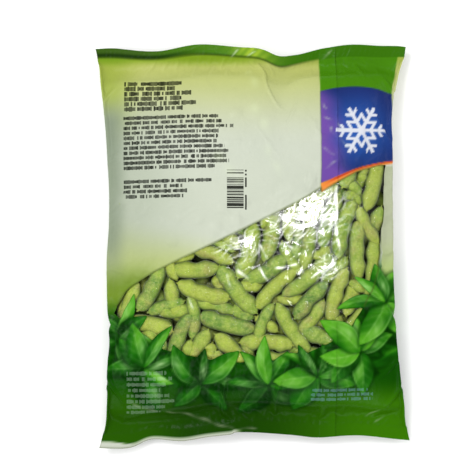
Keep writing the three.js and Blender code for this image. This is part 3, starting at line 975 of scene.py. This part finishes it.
def paint_leaf(ink, one, x, y):
    along, aside, depth = leaf_frame(one, x, y)
    cover = smooth(-one.blur, one.blur, depth)
    side = aside / one.width * 2
    lit = 1 if one.lit > 0 else -1
    low_down = smooth(-100, -126, y)
    tone = one.shade + 0.2 * lit * smooth(-0.2, 0.2, side) + 0.4 * (along - 0.5) - 0.3 * side**2
    tone = np.clip(tone + 0.12 * np.sin(9 * along + 3 * side + one.x) - 0.38 * low_down, 0, 1)
    low = tint(LEAF_DARK, LEAF_MID, np.minimum(2 * tone, 1))
    body = tint(low, LEAF_BRIGHT, np.maximum(2 * tone - 1, 0))
    if one.blur < 1:
        coat(ink, LEAF_DARK, 0.5 * smooth(-4, 0.5, depth))
    coat(ink, body, cover)
    if one.blur < 1:
        rib = 0.22 * bump(aside, 0, 0.8) * smooth(0, 0.15, along) * smooth(1, 0.7, along)
        rim = 0.3 * bump(depth, 0.8, 0.9) * smooth(0.1, 0.8, side * lit)
        shine = 0.75 * abs(one.lit) * bump(side, 0.4 * lit, 0.3) * bump(along, 0.5 + 0.15 * one.lit, 0.2)
        veins = 0.1 * bump(np.mod(along * 5 - np.abs(side) * 1.2, 1), 0.5, 0.2)
        lights = np.clip(rib + rim + shine + veins * (1 - side**2), 0, 1)
        coat(ink, LEAF_SHINE, cover * lights * mix(1, 0.55, low_down))


def near(one, x, y):
    reach = one.length + one.width + 4
    return (np.abs(x - one.x) < reach) & (np.abs(y - one.y) < reach)


def clear_inside(x, y):
    """Above 0 where the film is clear: inside the window's outline and outside the leaves printed over it."""
    depth = window_inside(x, y)
    for one in SHARP:
        part = near(one, x, y) & (depth > -1)
        if part.any():
            depth[part] = np.minimum(depth[part], -leaf_frame(one, x[part], y[part])[2])
    return depth


def snowflake(x, y, size):
    """A plain six-armed crystal with two pairs of side branches to an arm, as a mask."""
    radius = np.hypot(x, y)
    turn = np.mod(np.arctan2(y, x) + np.pi / 6, np.pi / 3) - np.pi / 6
    along, aside = radius * np.cos(turn), np.abs(radius * np.sin(turn))
    arm = np.where(along < size, 1.35 - aside, -1)
    for start, reach in SNOW_BRANCHES:
        out = along - start * size - aside * 0.577
        arm = np.maximum(arm, np.where(aside < reach * size, 1.1 - np.abs(out) * 0.866, -1))
    hub = 3.0 - np.maximum(along, aside)
    return smooth(-0.35, 0.35, np.maximum(arm, hub))


def inner(depth):
    """A mask with a clean edge at depth 0."""
    return smooth(-0.6, 0.6, depth)


def paint_badge(ink, x, y):
    """The blue badge on the right with the stripe under it, and the green above."""
    over = y - line_at(WINDOW_STRIPE, x) - 0.2 * np.maximum(0, x - WINDOW_STRIPE[-1][0])
    right = inner(x - SEAM_LEFT) * inner(BADGE_RIGHT - x) * inner(over)
    green_right = BADGE_RIGHT + np.where(y > 124, 0.4 + 0.2 * (y - 124), 0.1 * (y - 120))
    coat(ink, PANEL_GREEN, inner(x - SEAM_LEFT) * inner(over) * inner(green_right - x))
    top = 124.3 - 5.3 * ((x - 82) / 31) ** 2
    stripe = mix(STRIPE[1], STRIPE[0], np.exp(np.minimum(0, (SEAM_LEFT - x) / 16)))
    wavy = x + 0.25 * (y - 80) + 3 * np.sin(0.11 * y) + 1.5 * np.sin(0.31 * y + 1)
    tone = tint(NAVY, BLUE, bump(np.hypot((x - 84) / 1.1, y - 90), 0, 30))
    tone = tint(tone, VIOLET, smooth(82, 58, wavy) * 0.95)
    badge = right * inner(over - stripe) * inner(top - y)
    coat(ink, tone, badge)
    coat(ink, WHITE, badge * snowflake(x - SNOWFLAKE[0], y - SNOWFLAKE[1], SNOWFLAKE[2]))
    coat(ink, ORANGE, right * inner(stripe - over))
    coat(ink, RED, right * inner(stripe - over) * inner(over - 0.6 * stripe) * smooth(56, 70, x))


def paint_weld(ink, x, along):
    """The band along the top edge, with painted shade low on its left and a painted highlight in its middle,
    the painted shadow line under it, and the bare lip at the bottom edge's left with a painted shadow along
    its very edge.
    """
    down, up = (1 - along) * HALF_LENGTH, (1 + along) * HALF_LENGTH
    band = mix(5.4, 8.6, smooth(-110, 90, x))
    highlight_streak = 0.5 + 0.5 * np.sin(0.9 * x + 0.8 * down)
    colour = tint(WELD_LEFT, WELD_MID, smooth(-100, -40, x))
    colour = tint(colour, WELD_RIGHT, smooth(15, 50, x))
    # painted shade on the lower part of the band's left half, where it curls away from the light
    colour = tint(colour, WELD_SHADOW, 0.7 * smooth(2.4, 4.4, down) * smooth(-30, -80, x))
    # painted highlight: the lit creases in the middle of the band, in streaks
    colour = tint(colour, WELD_HIGHLIGHT, bump(x, 1, 15) * mix(0.6, 1, highlight_streak))
    coat(ink, colour, smooth(band + 0.5, band - 0.3, down))
    # painted shadow of the band, in a dark line just under it
    coat(ink, WELD_SHADOW, 0.6 * bump(down, band + 0.6, 0.9) * smooth(70, 20, x))
    lip = mix(4.4, 2.2, smooth(-114, -92, x))
    coat(ink, LIP, smooth(lip + 0.6, lip - 0.6, up) * smooth(-6, -14, x))
    # painted shadow along the lip's very edge
    coat(ink, LIP_EDGE_SHADOW, smooth(1.4, 0, up) * smooth(-6, -14, x))


def paint_ground(ink, x, y):
    """The cream ground, yellower towards the top and the lower left, with painted shade down its left side,
    and the green behind the leaves.
    """
    ink[:] = CREAM
    coat(ink, CREAM_TOP, smooth(72, 150, y) ** 1.3)
    coat(ink, CREAM_RIM, smooth(142, 149, y) * (0.4 + 0.5 * smooth(25, -15, x)))
    coat(ink, PANEL_GREEN, 0.7 * smooth(141, 150, y) * smooth(-90, -116, x))
    coat(ink, CREAM_LOW, smooth(24, -14, y + 0.2 * (x + 100)))
    coat(ink, CREAM_TIP, smooth(-8, -36, y) * smooth(-58, -90, x))
    coat(ink, CREAM_LEFT, 0.55 * smooth(-82, -116, x) * smooth(72, 118, y))
    # painted shade down the left side of the panel, where the film rounds away from the light
    shade = 0.35 * smooth(-30, -100, x) + 0.6 * smooth(-94, -114, x)
    coat(ink, CREAM_PAINTED_SHADE, shade * smooth(122, 96, y) * smooth(-50, 10, y))
    sides = 0.8 * smooth(-10, 110, x) + 0.35 * smooth(-40, -90, x)
    green = tint(FIELD_GREEN, FIELD_DARK, smooth(-104, -134, y))
    green = tint(green, FIELD_LIGHT, sides * smooth(-105, -128, y))
    coat(ink, green, smooth(-44, -68, y - 40 * smooth(60, 108, x) - 4 * smooth(-60, -112, x)))


def painted(x, y, along, upper):
    """The print's colour at points of the plan, on the upper or the lower face."""
    ink = np.empty(x.shape + (3,))
    paint_ground(ink, x, y)
    if upper:
        paint_badge(ink, x, y)
        strip = (x > 104) & (y < 62)
        coat(ink, PALE_EDGE, strip * smooth(-40, -30, y))
        coat(ink, PALE_LOW, 0.8 * strip * smooth(-40, -30, y) * smooth(10, -30, y))
    for one in BLURRED + SHARP:
        part = near(one, x, y) & (y < LEAVES_TOP)
        if part.any():
            some = ink[part]
            paint_leaf(some, one, x[part], y[part])
            ink[part] = some
    if upper:
        edge = bump(window_inside(x, y), -0.4, 0.7) * (y > -50) * (x < 104)
        coat(ink, WINDOW_RIM, 0.55 * edge)
    paint_weld(ink, x, along)
    return np.clip(ink, 0, 1)


def to_linear(srgb):
    return np.where(srgb <= 0.04045, srgb / 12.92, ((srgb + 0.055) / 1.055) ** 2.4)


# ---- meshes


def new_mesh_object(name, vertices, faces, material):
    """A smooth-shaded object from vertices in millimetres and rows of vertex numbers."""
    mesh = bpy.data.meshes.new(name)
    mesh.from_pydata((np.asarray(vertices) * MM).tolist(), [], faces)
    mesh.polygons.foreach_set("use_smooth", np.ones(len(mesh.polygons), bool))
    mesh.materials.append(material)
    mesh.update()
    made = bpy.data.objects.new(name, mesh)
    bpy.context.scene.collection.objects.link(made)
    return made


def add_attribute(made, name, kind, values):
    key = {"FLOAT_COLOR": "color", "FLOAT_VECTOR": "vector", "FLOAT": "value"}[kind]
    layer = made.data.attributes.new(name, kind, "POINT")
    layer.data.foreach_set(key, np.asarray(values, np.float32).ravel())


def add_bake_map(made, u, v):
    """Gives the mesh the flat film's own coordinates, from 0 to 1, as the map that its print is kept in."""
    layer = made.data.uv_layers.new(name="OFBake")
    corner = np.empty(len(made.data.loops), np.int32)
    made.data.loops.foreach_get("vertex_index", corner)
    layer.data.foreach_set("uv", np.stack([u, v], -1)[corner].astype(np.float32).ravel())


PLACE, PLAN_X, PLAN_Y, ALONG, CREASE_GLINT, UPPER_FACE = slice(0, 3), 3, 4, 5, 6, 7  # of a film vertex's values
COARSE_DROP = 0.2  # keeps the lower face's coarser mesh from coming through the upper face


def film_vertices(film):
    """Values for each vertex of the tube, as if all were on the upper face."""
    more = np.stack([film.along, film.crease_glint, np.ones_like(film.crease_glint)], -1)
    return np.concatenate([film.points, film.form[..., :2], more], -1)


def grid_quads(shape, first=0):
    """The quads of a grid of vertices that are numbered from first, row by row."""
    rows, cols = shape[:2]
    grid = first + np.arange(rows * cols).reshape(rows, cols)
    return np.stack([grid[:-1, :-1], grid[:-1, 1:], grid[1:, 1:], grid[1:, :-1]], -1).reshape(-1, 4)


def cut_window(sheet):
    """Cuts a grid of film vertices along the window's outline. Returns the vertex values with the cut's
    points added, and the clear and the printed faces."""
    values = sheet.reshape(-1, sheet.shape[2])
    depth = clear_inside(values[:, PLAN_X], values[:, PLAN_Y])
    corners = grid_quads(sheet.shape)
    high = depth[corners] > 0
    clear, printed = corners[high.all(1)].tolist(), corners[~high.any(1)].tolist()
    added, numbers = [], {}

    def cut(a, b):
        key = (min(a, b), max(a, b))
        if key not in numbers:
            added.append(mix(values[a], values[b], depth[a] / (depth[a] - depth[b])))
            numbers[key] = len(values) + len(added) - 1
        return numbers[key]

    for quad in corners[high.any(1) & ~high.all(1)].tolist():
        parts = {True: [], False: []}
        for a, b in zip(quad, quad[1:] + quad[:1]):
            parts[bool(depth[a] > 0)].append(a)
            if (depth[a] > 0) != (depth[b] > 0):
                point = cut(a, b)
                parts[True].append(point)
                parts[False].append(point)
        clear.append(parts[True])
        printed.append(parts[False])
    return np.concatenate([values, np.array(added)]) if added else values, clear, printed


def keep_used(values, faces):
    """Only the vertices that the faces use, and the faces with their new numbers."""
    used = np.unique(np.concatenate([np.array(f) for f in faces]))
    number = np.full(len(values), -1)
    number[used] = np.arange(len(used))
    return values[used], [[int(number[v]) for v in f] for f in faces]


def film_piece(name, values, faces, material, middle, size, ink_level=0):
    """A piece of film with its attributes. Its bake map holds the plan around middle, size wide and high,
    with the lower face beside the upper one."""
    kept, faces = keep_used(values, faces)
    made = new_mesh_object(name, kept[:, PLACE], faces, material)
    x, y, upper = kept[:, PLAN_X], kept[:, PLAN_Y], kept[:, UPPER_FACE]
    add_attribute(made, "plan", "FLOAT_VECTOR", np.stack([x, y, upper], -1))
    add_attribute(made, "crease_glint", "FLOAT", kept[:, CREASE_GLINT])
    add_attribute(made, "loose", "FLOAT", looseness(x, y))
    add_bake_map(made, 0.5 + (x - middle[0]) / size[0] + (1 - upper) / 2, 0.5 + (y - middle[1]) / size[1])
    if ink_level:
        ink = np.ones((len(kept), 4))
        for face in (1, 0):
            on = upper == face
            ink[on, :3] = ink_level * to_linear(painted(x[on], y[on], kept[on, ALONG], face == 1))
        add_attribute(made, "ink", "FLOAT_COLOR", ink)
    return made


def film_pieces(film, printed_material, clear_material):
    """The printed film, with both faces of the tube, and the clear window cut out of its upper face."""
    every = film_vertices(film)
    face = every[:, upper_columns(film.columns)].copy()
    for side in (0, -1):
        face[1:-1:2, side] = (face[:-2:2, side] + face[2::2, side]) / 2
    step = 2 if film.columns == LEVELS[-1][0] else 1
    back = every[::step][:, under_columns(film.columns, step)]
    back[..., 2] = np.maximum(back[..., 2] - COARSE_DROP, FLOOR_GAP)
    back[:, 0], back[:, -1] = face[::step, 0], face[::step, -1]
    back[..., UPPER_FACE] = 0
    values, clear, printed = cut_window(face)
    printed += grid_quads(back.shape, len(values))[:, [0, 3, 2, 1]].tolist()
    values = np.concatenate([values, back.reshape(-1, back.shape[2])])
    size = (1.7 * BAG_LENGTH, 1.02 * BAG_LENGTH)
    return (
        film_piece("film_printed", values, printed, printed_material, (size[0] / 4, 0), size, INK_LEVEL),
        film_piece("film_clear", values, clear, clear_material, (0, -15), (230, 230)),
    )


SEAM_COLUMNS = np.array([0.0, 0.35, 1.2, 2.6, 4.2, 6.0, 8.0, 9.8, 11.2, 12.3, 13.0])
SEAM_LIFT = np.array([0.02, 0.22, 0.26, 0.24, 0.26, 0.24, 0.26, 0.28, 0.36, 0.5, 0.62])


def seam_pieces(film, printed_material, clear_material):
    """The lap of the long seam: the film's second layer, on the upper face, with its right edge free."""
    every = film_vertices(film)[:, upper_columns(film.columns)]
    strip = np.empty((len(every), len(SEAM_COLUMNS), every.shape[2]))
    for r, row in enumerate(every):
        for k in range(every.shape[2]):
            strip[r, :, k] = np.interp(SEAM_LEFT + SEAM_COLUMNS, row[:, PLAN_X], row[:, k])
    place, y = strip[..., PLACE], strip[..., PLAN_Y]
    normal = np.cross(np.gradient(place, axis=1), np.gradient(place, axis=0))
    normal /= np.linalg.norm(normal, axis=-1, keepdims=True)
    wave = 1 + 0.55 * np.sin(0.11 * y + 0.9) * np.sin(0.043 * y) + 0.3 * np.sin(0.31 * y)
    free = (SEAM_COLUMNS / SEAM_WIDTH) ** 3
    strip[..., PLACE] += normal * (SEAM_LIFT * (1 - free) + SEAM_LIFT * free * wave)[..., None]
    values, clear, printed = cut_window(strip)
    spot = ((SEAM_LEFT + SEAM_WIDTH / 2, 0), (20, 1.02 * BAG_LENGTH))
    return (
        film_piece("seam_printed", values, printed, printed_material, *spot, INK_LEVEL * SEAM_INK),
        film_piece("seam_clear", values, clear, clear_material, *spot),
    )


def depth_in_heap(tops, points):
    """How far points are below the pods' tops around them, in millimetres, for the painted shade in the
    heap's gaps.
    """
    around = np.maximum(tops, 0)
    for _ in range(8):
        for axis in (0, 1):
            around = (np.roll(around, 1, axis) + np.roll(around, -1, axis) + 2 * around) / 4
    return sample_map(around, points[:, 0], points[:, 1]) - points[:, 2]


def pods_piece(upper, lower, tops, material):
    """All pods as one mesh, finer where the window shows them."""
    vertices, looks, faces, count = [], [], [], 0
    for side, laid in ((1, upper), (-1, lower)):
        x, y = np.array([(at.x, at.y) for _, at in laid]).T
        fine = (side > 0) & (np.arange(len(laid)) < FINE_PODS) & (window_inside(x, y) > -FINE_PAST)
        for (pod, at), is_fine in zip(laid, fine):
            points, look = pod_skin(pod, at, side, **(FINE if is_fine else COARSE))
            rings, sides = points.shape[:2]
            vertices.append(points.reshape(-1, 3))
            looks.append(look.reshape(-1, 4))
            faces += ring_faces(rings, sides, count, side * pod.tip_side > 0)
            count += rings * sides
    vertices = np.concatenate(vertices)
    made = new_mesh_object("pods", vertices, faces, material)
    add_attribute(made, "look", "FLOAT_COLOR", np.concatenate(looks))
    add_attribute(made, "depth", "FLOAT", depth_in_heap(tops, vertices))
    return made


# ---- materials


def feed(tree, slot, value):
    """Links a field or a socket to the slot, or sets the slot to a plain value."""
    if isinstance(value, Field):
        value = value.socket
    if isinstance(value, bpy.types.NodeSocket):
        tree.links.new(value, slot)
    else:
        slot.default_value = value


class Field:
    """A number in a material's nodes, which takes part in sums."""

    def __init__(self, tree, socket):
        self.tree, self.socket = tree, socket

    def math(self, operation, *others, clamp=False):
        made = self.tree.nodes.new("ShaderNodeMath")
        made.operation, made.use_clamp = operation, clamp
        for slot, value in zip(made.inputs, (self, *others)):
            feed(self.tree, slot, value)
        return Field(self.tree, made.outputs[0])

    __add__ = partialmethod(math, "ADD")
    __sub__ = partialmethod(math, "SUBTRACT")
    __mul__ = partialmethod(math, "MULTIPLY")
    over = partialmethod(math, "GREATER_THAN")
    under = partialmethod(math, "LESS_THAN")
    most = partialmethod(math, "MAXIMUM")
    least = partialmethod(math, "MINIMUM")
    floor = partialmethod(math, "FLOOR")
    part = partialmethod(math, "FRACT")
    size = partialmethod(math, "ABSOLUTE")

    def from_to(self, low, high):
        """0 below low and 1 above high."""
        return ((self - low) * (1 / (high - low))).math("MULTIPLY", 1.0, clamp=True)

    def chance(self, seed):
        """A random number for each value."""
        made = self.tree.nodes.new("ShaderNodeTexWhiteNoise")
        made.noise_dimensions = "1D"
        feed(self.tree, made.inputs["W"], self + seed)
        return Field(self.tree, made.outputs["Value"])


def new_material(name):
    material = bpy.data.materials.new(name)
    material.use_nodes = True
    material.node_tree.nodes.clear()
    return material, material.node_tree


def node(tree, kind, **inputs):
    """A shader node of that kind, with its inputs linked or set. Names with _ stand for names with spaces."""
    made = tree.nodes.new("ShaderNode" + kind)
    for name, value in inputs.items():
        feed(tree, made.inputs[name.replace("_", " ")], value)
    return made


def shown(material, shader):
    """The material, with the shader as its surface."""
    node(material.node_tree, "OutputMaterial", Surface=shader.outputs[0])
    return material


def mixed(tree, share, first, second):
    made = node(tree, "MixShader", Fac=share)
    for slot, shader in zip(made.inputs[1:], (first, second)):
        feed(tree, slot, shader.outputs[0])
    return made


def attribute(tree, name, output):
    made = tree.nodes.new("ShaderNodeAttribute")
    made.attribute_name = name
    return made.outputs[output]


def axes(tree, vector):
    return [Field(tree, s) for s in node(tree, "SeparateXYZ", Vector=vector).outputs]


def noise(tree, vector, scale, detail=3.0, roughness=0.55, distortion=0.0):
    made = node(
        tree, "TexNoise",
        Vector=vector, Scale=scale, Detail=detail, Roughness=roughness, Distortion=distortion,
    )
    return Field(tree, made.outputs["Fac"])


def blended(tree, factor, low, high, kind="MIX"):
    """A colour between two, each a socket or a linear colour."""
    made = tree.nodes.new("ShaderNodeMix")
    made.data_type, made.blend_type = "RGBA", kind
    for slot, value in ((made.inputs[0], factor), (made.inputs[6], low), (made.inputs[7], high)):
        feed(tree, slot, (*value, 1) if isinstance(value, tuple) else value)
    return made.outputs[2]


def srgb(*colour):
    return tuple(to_linear(np.array(colour, float)).tolist())


def coated(tree, colour, coats):
    """The colour under coats, each a mask, how much the coat covers at most, and its sRGB colour."""
    for mask, share, paint in coats:
        colour = blended(tree, mask * share, colour, srgb(*paint))
    return colour


# Blocks of small print: left and top, pitch and number of the lines, the shortest and the longest line, a
# seed, the height of the bars as a share of the pitch, and the width of a letter.
DARK_PRINT = (
    (-101.0, 128.8, 4.04, 6, 38, 58, 11, 0.82, 1.3),
    (-101.6, 101.4, 3.95, 11, 70, 92, 23, 0.66, 1.1),
    (-101.6, 51.0, 3.97, 4, 44, 74, 37, 0.66, 1.2),
)
PALE_PRINT = (-99.0, -100.4, 4.4, 8, 26, 39, 53, 0.6, 1.1)
BLUE_PRINT = (48.0, -113.4, 3.6, 3, 44, 52, 71, 0.6, 1.1)
PRINT_SLANT = 0.022  # fall of the lines from left to right
BARS = ((0.5, 3.5, 0.42, -19.2, -6.0), (1.5, 8.5, 0.4, -4.9, -3.6))  # pitch, seed, share blank, left, right
BAR_ENDS = (27.3, 58.6)


def greeked(x, y, left, top, pitch, lines, shortest, longest, seed, fill, letter):
    """Broken bars where a block of small print would be, as a mask."""
    down = (y * -1 + top) * (1 / pitch)
    line = down.floor()
    run = x - left
    length = line.chance(seed) * (longest - shortest) + shortest
    mask = down.over(0) * down.under(lines) * run.over(0) * (length - run).over(0)
    cell = (run * (1 / letter)).floor() + line * 61
    off_middle = (down.part() - 0.5).size()
    mask = mask * (cell.chance(seed + 3.1) * 0.16 + (fill / 2 - 0.08) - off_middle).over(0)
    return mask * cell.chance(seed + 0.5).over(0.14) * (cell.chance(seed + 7.5) * 0.25 + 0.75)


def bar_code(x, y):
    """Bars of random widths beside a column of random marks, as a mask."""
    bars, marks = (
        (y * (1 / pitch)).floor().chance(seed).over(blank) * x.over(left) * x.under(right)
        for pitch, seed, blank, left, right in BARS
    )
    return bars.most(marks) * y.over(BAR_ENDS[0]) * y.under(BAR_ENDS[1])


def crinkle(tree, plan, strength):
    """Fine creases of the film, as a normal. plan is in millimetres."""
    fine = noise(tree, plan, 0.16, 4.0, 0.6, 1.2)
    sharp = (noise(tree, plan, 0.055, 3.0, 0.5, 0.8) - 0.5).size()
    height = fine * 0.5 - sharp * 2.2
    return node(tree, "Bump", Height=height, Strength=strength, Distance=0.0016).outputs["Normal"]


def printed_material():
    material, tree = new_material("printed_film")
    plan = attribute(tree, "plan", "Vector")
    x, level, upper = axes(tree, plan)
    y = level - (x + 101) * PRINT_SLANT
    dark = greeked(x, y, *DARK_PRINT[0])
    for block in DARK_PRINT[1:]:
        dark = dark.most(greeked(x, y, *block))
    dark = dark.most(bar_code(x, level))
    pale, blue = greeked(x, y, *PALE_PRINT), greeked(x, level, *BLUE_PRINT)
    colour = coated(tree, attribute(tree, "ink", "Color"), (
        (dark * upper, 0.95, (0.03, 0.05, 0.02)),
        (pale * upper, 0.15, (0.70, 0.82, 0.70)),
        (blue * upper, 0.22, (0.50, 0.68, 0.72)),
    ))
    # painted highlight: pale colour along the creases and fold ridges
    colour = blended(tree, attribute(tree, "crease_glint", "Fac"), colour, srgb(0.86, 0.92, 0.74))
    mottled = noise(tree, plan, 0.02, 4.0, 0.6).from_to(0.4, 0.75)
    colour = blended(tree, mottled * 0.3, colour, (0.82, 0.85, 0.82), "MULTIPLY")
    shader = node(
        tree, "BsdfPrincipled",
        Base_Color=colour, Roughness=0.28, IOR=1.5, Specular_IOR_Level=0.06, Normal=crinkle(tree, plan, 0.35),
    )
    return shown(material, shader)


def clear_material():
    material, tree = new_material("clear_film")
    plan = attribute(tree, "plan", "Vector")
    crease_glint, loose = (Field(tree, attribute(tree, name, "Fac")) for name in ("crease_glint", "loose"))
    x, y, _ = axes(tree, plan)
    ragged = noise(tree, plan, 0.11, 3.0, 0.6, 0.8) - 0.5
    drawn_out = node(tree, "CombineXYZ", X=x * 0.36 + y * 0.13, Y=y * 0.94 - x * 0.34)
    cracks = (noise(tree, drawn_out.outputs[0], 0.11, 3.0, 0.55, 0.6) - 0.5).size().from_to(0.008, 0.05)
    loose = (loose + ragged * 0.9).from_to(0.3, 0.6) * (cracks * 0.9 + 0.1)
    far_x, far_y = (x - 22) * (1 / 62), (y + 6) * (1 / 46)
    around = (far_x * far_x + far_y * far_y).from_to(1.1, 0.6)
    islands = noise(tree, plan, 0.055, 2.0, 0.5, 1.5).from_to(0.60, 0.66) * around
    normal = crinkle(tree, plan, 0.5)
    through = node(tree, "BsdfTransparent", Color=(0.975, 0.985, 0.97, 1))
    gloss = node(tree, "BsdfGlossy", Color=(1, 1, 1, 1), Roughness=0.1, Normal=normal)
    # diffuse white, mixed in over the loose patch and along the creases and folds: painted glare and glints
    glare_white = node(tree, "BsdfDiffuse", Color=(0.9, 0.92, 0.88, 1))
    fresnel = Field(tree, node(tree, "Fresnel", IOR=1.5, Normal=normal).outputs[0])
    clear = mixed(tree, fresnel.least(0.12) * (loose * 2.2 + islands * 1.4 + 0.03), through, gloss)
    return shown(material, mixed(tree, loose * 0.08 + crease_glint * 0.5, clear, glare_white))


def pods_material():
    material, tree = new_material("pods")
    parts = node(tree, "SeparateColor", Color=attribute(tree, "look", "Color"))
    tone, end, lit_bean_top = (Field(tree, s) for s in parts.outputs)
    edge = Field(tree, attribute(tree, "look", "Alpha"))
    depth = Field(tree, attribute(tree, "depth", "Fac"))
    place = node(tree, "TexCoord").outputs["Object"]
    broad, mottle = noise(tree, place, 55, 3.0, 0.6), noise(tree, place, 420, 4.0, 0.65)
    fine, dusty = noise(tree, place, 1500, 2.0, 0.6), noise(tree, place, 52, 2.0, 0.6)
    brown, frost_and_glints = noise(tree, place, 140, 3.0, 0.6), noise(tree, place, 900, 2.0, 0.7)
    yellow, fresh = srgb(0.60, 0.66, 0.185), srgb(0.43, 0.58, 0.14)
    base = blended(tree, (tone * 0.9 + (broad - 0.5) * 1.6).from_to(0.2, 0.9), yellow, fresh)
    base = coated(tree, base, (
        ((tone + (broad - 0.5) * 1.2).from_to(0.8, 1.1), 0.8, (0.26, 0.45, 0.10)),
        # painted highlight on the upper side of each bean
        (lit_bean_top.from_to(0.3, 1.0), 0.4, (0.69, 0.77, 0.255)),
        (dusty.from_to(0.55, 0.68), 0.6, (0.60, 0.54, 0.30)),
        (mottle.from_to(0.42, 0.62), 0.4, (0.73, 0.76, 0.38)),
        (fine.from_to(0.46, 0.66), 0.5, (0.33, 0.43, 0.13)),
        # painted shade on the pods' sides, towards the seams along their edges
        (edge.from_to(0.15, 1.0), 0.85, (0.25, 0.34, 0.08)),
        (end.from_to(0.4, 0.95), 0.5, (0.46, 0.49, 0.20)),
        (brown.from_to(0.60, 0.76), 0.45, (0.42, 0.38, 0.20)),
        # white specks: frost on the pods, and painted glints
        (frost_and_glints.from_to(0.64, 0.72) * broad.from_to(0.35, 0.65), 0.32, (0.93, 0.95, 0.90)),
        # painted shade: darker the deeper a point lies below the pods' tops around it, for the shadow in the
        # gaps
        (depth.from_to(1.0, 5.0), 0.42, (0.19, 0.26, 0.05)),
        (depth.from_to(5.0, 14.0), 0.85, (0.10, 0.12, 0.04)),
    ))
    height = mottle * 0.6 + fine * 0.4
    normal = node(tree, "Bump", Height=height, Strength=0.5, Distance=0.0005).outputs["Normal"]
    shader = node(
        tree, "BsdfPrincipled",
        Base_Color=base, Roughness=0.62, Normal=normal, Sheen_Weight=0.15,
        Subsurface_Weight=0.08, Subsurface_Radius=(0.004, 0.006, 0.001),
    )
    return shown(material, shader)


def floor_material():
    material, tree = new_material("floor")
    shader = node(tree, "BsdfPrincipled", Base_Color=(0.97, 0.97, 0.97, 1), Roughness=0.9)
    return shown(material, shader)


# ---- the stage, in metres

IMAGE_WIDTH = 0.3792  # across the view at the bag's outline
OUTLINE_HEIGHT = 0.013
VIEW_CENTRE = (-0.0112, 0.0056)
LENS, SENSOR = 200.0, 36.0
FLOOR_HALF = 4.0
DAYLIGHT = 0.76
LIGHTS = {  # each light's place, what it points at, its size and its power
    "key": ((-0.75, 0.85, 1.7), (0, 0, 0), 0.7, 18),
    "fill_right": ((1.15, 0.55, 1.0), (0, 0, 0), 0.7, 5),
    "fill_front": ((0.25, -1.25, 1.0), (0, 0, 0), 0.7, 5),
    "fill_left": ((-1.2, -0.35, 0.9), (0, 0, 0), 0.7, 5),
}
GLARE_LIGHTS = {  # the same of those that light the clear film only
    "glare": ((0.36, 0.04, 1.4), (0.04, 0.02, 0.04), 0.9, 52),
    "glare_corner": ((0.95, 0.75, 1.3), (0.05, 0.03, 0.04), 0.75, 48),
}


def add_camera():
    data = bpy.data.cameras.new("camera")
    data.lens, data.sensor_width = LENS, SENSOR
    data.clip_end = 20
    camera = bpy.data.objects.new("camera", data)
    bpy.context.scene.collection.objects.link(camera)
    camera.location = (*VIEW_CENTRE, OUTLINE_HEIGHT + IMAGE_WIDTH * LENS / SENSOR)
    bpy.context.scene.camera = camera


def add_light(name, place, aim, size, power):
    data = bpy.data.lights.new(name, "AREA")
    data.shape, data.size, data.energy = "SQUARE", size, power
    light = bpy.data.objects.new(name, data)
    bpy.context.scene.collection.objects.link(light)
    light.location = place
    light.rotation_euler = (Vector(aim) - Vector(place)).to_track_quat("-Z", "Y").to_euler()
    return light


def add_stage(clear_pieces):
    """The floor, a white world that the film doesn't mirror, and the lights."""
    corners = [(-1, -1, 0), (1, -1, 0), (1, 1, 0), (-1, 1, 0)]
    floor = new_mesh_object("floor", np.array(corners) * FLOOR_HALF / MM, [[0, 1, 2, 3]], floor_material())
    world = bpy.data.worlds.new("studio")
    world.use_nodes = True
    world.node_tree.nodes["Background"].inputs["Color"].default_value = (1, 1, 1, 1)
    world.node_tree.nodes["Background"].inputs["Strength"].default_value = DAYLIGHT
    bpy.context.scene.world = world
    world.cycles_visibility.glossy = False
    bpy.context.scene.view_settings.view_transform = "Standard"
    for name, light in LIGHTS.items():
        add_light(name, *light)
    glossy = bpy.data.collections.new("glossy")
    for piece in clear_pieces:
        glossy.objects.link(piece)
    for name, light in GLARE_LIGHTS.items():
        add_light(name, *light).light_linking.receiver_collection = glossy


# ---- the assembly

add_camera()
upper_pods, lower_pods = heap_of_pods()
pod_tops = top_map(upper_pods)
film = lay_film(pod_tops)
printed_look, clear_look = printed_material(), clear_material()
printed, window = film_pieces(film, printed_look, clear_look)
seam_printed, seam_clear = seam_pieces(film, printed_look, clear_look)
pods = pods_piece(upper_pods, lower_pods, pod_tops, pods_material())

for piece, slot in (
    (printed, "printed_film"),
    (window, "clear_film"),
    (seam_printed, "printed_film"),
    (seam_clear, "clear_film"),
    (pods, "pods"),
):
    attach(piece, "root")
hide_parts("printed_film")
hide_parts("clear_film_window")
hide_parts("edamame_pods")
add_stage([window, seam_clear])
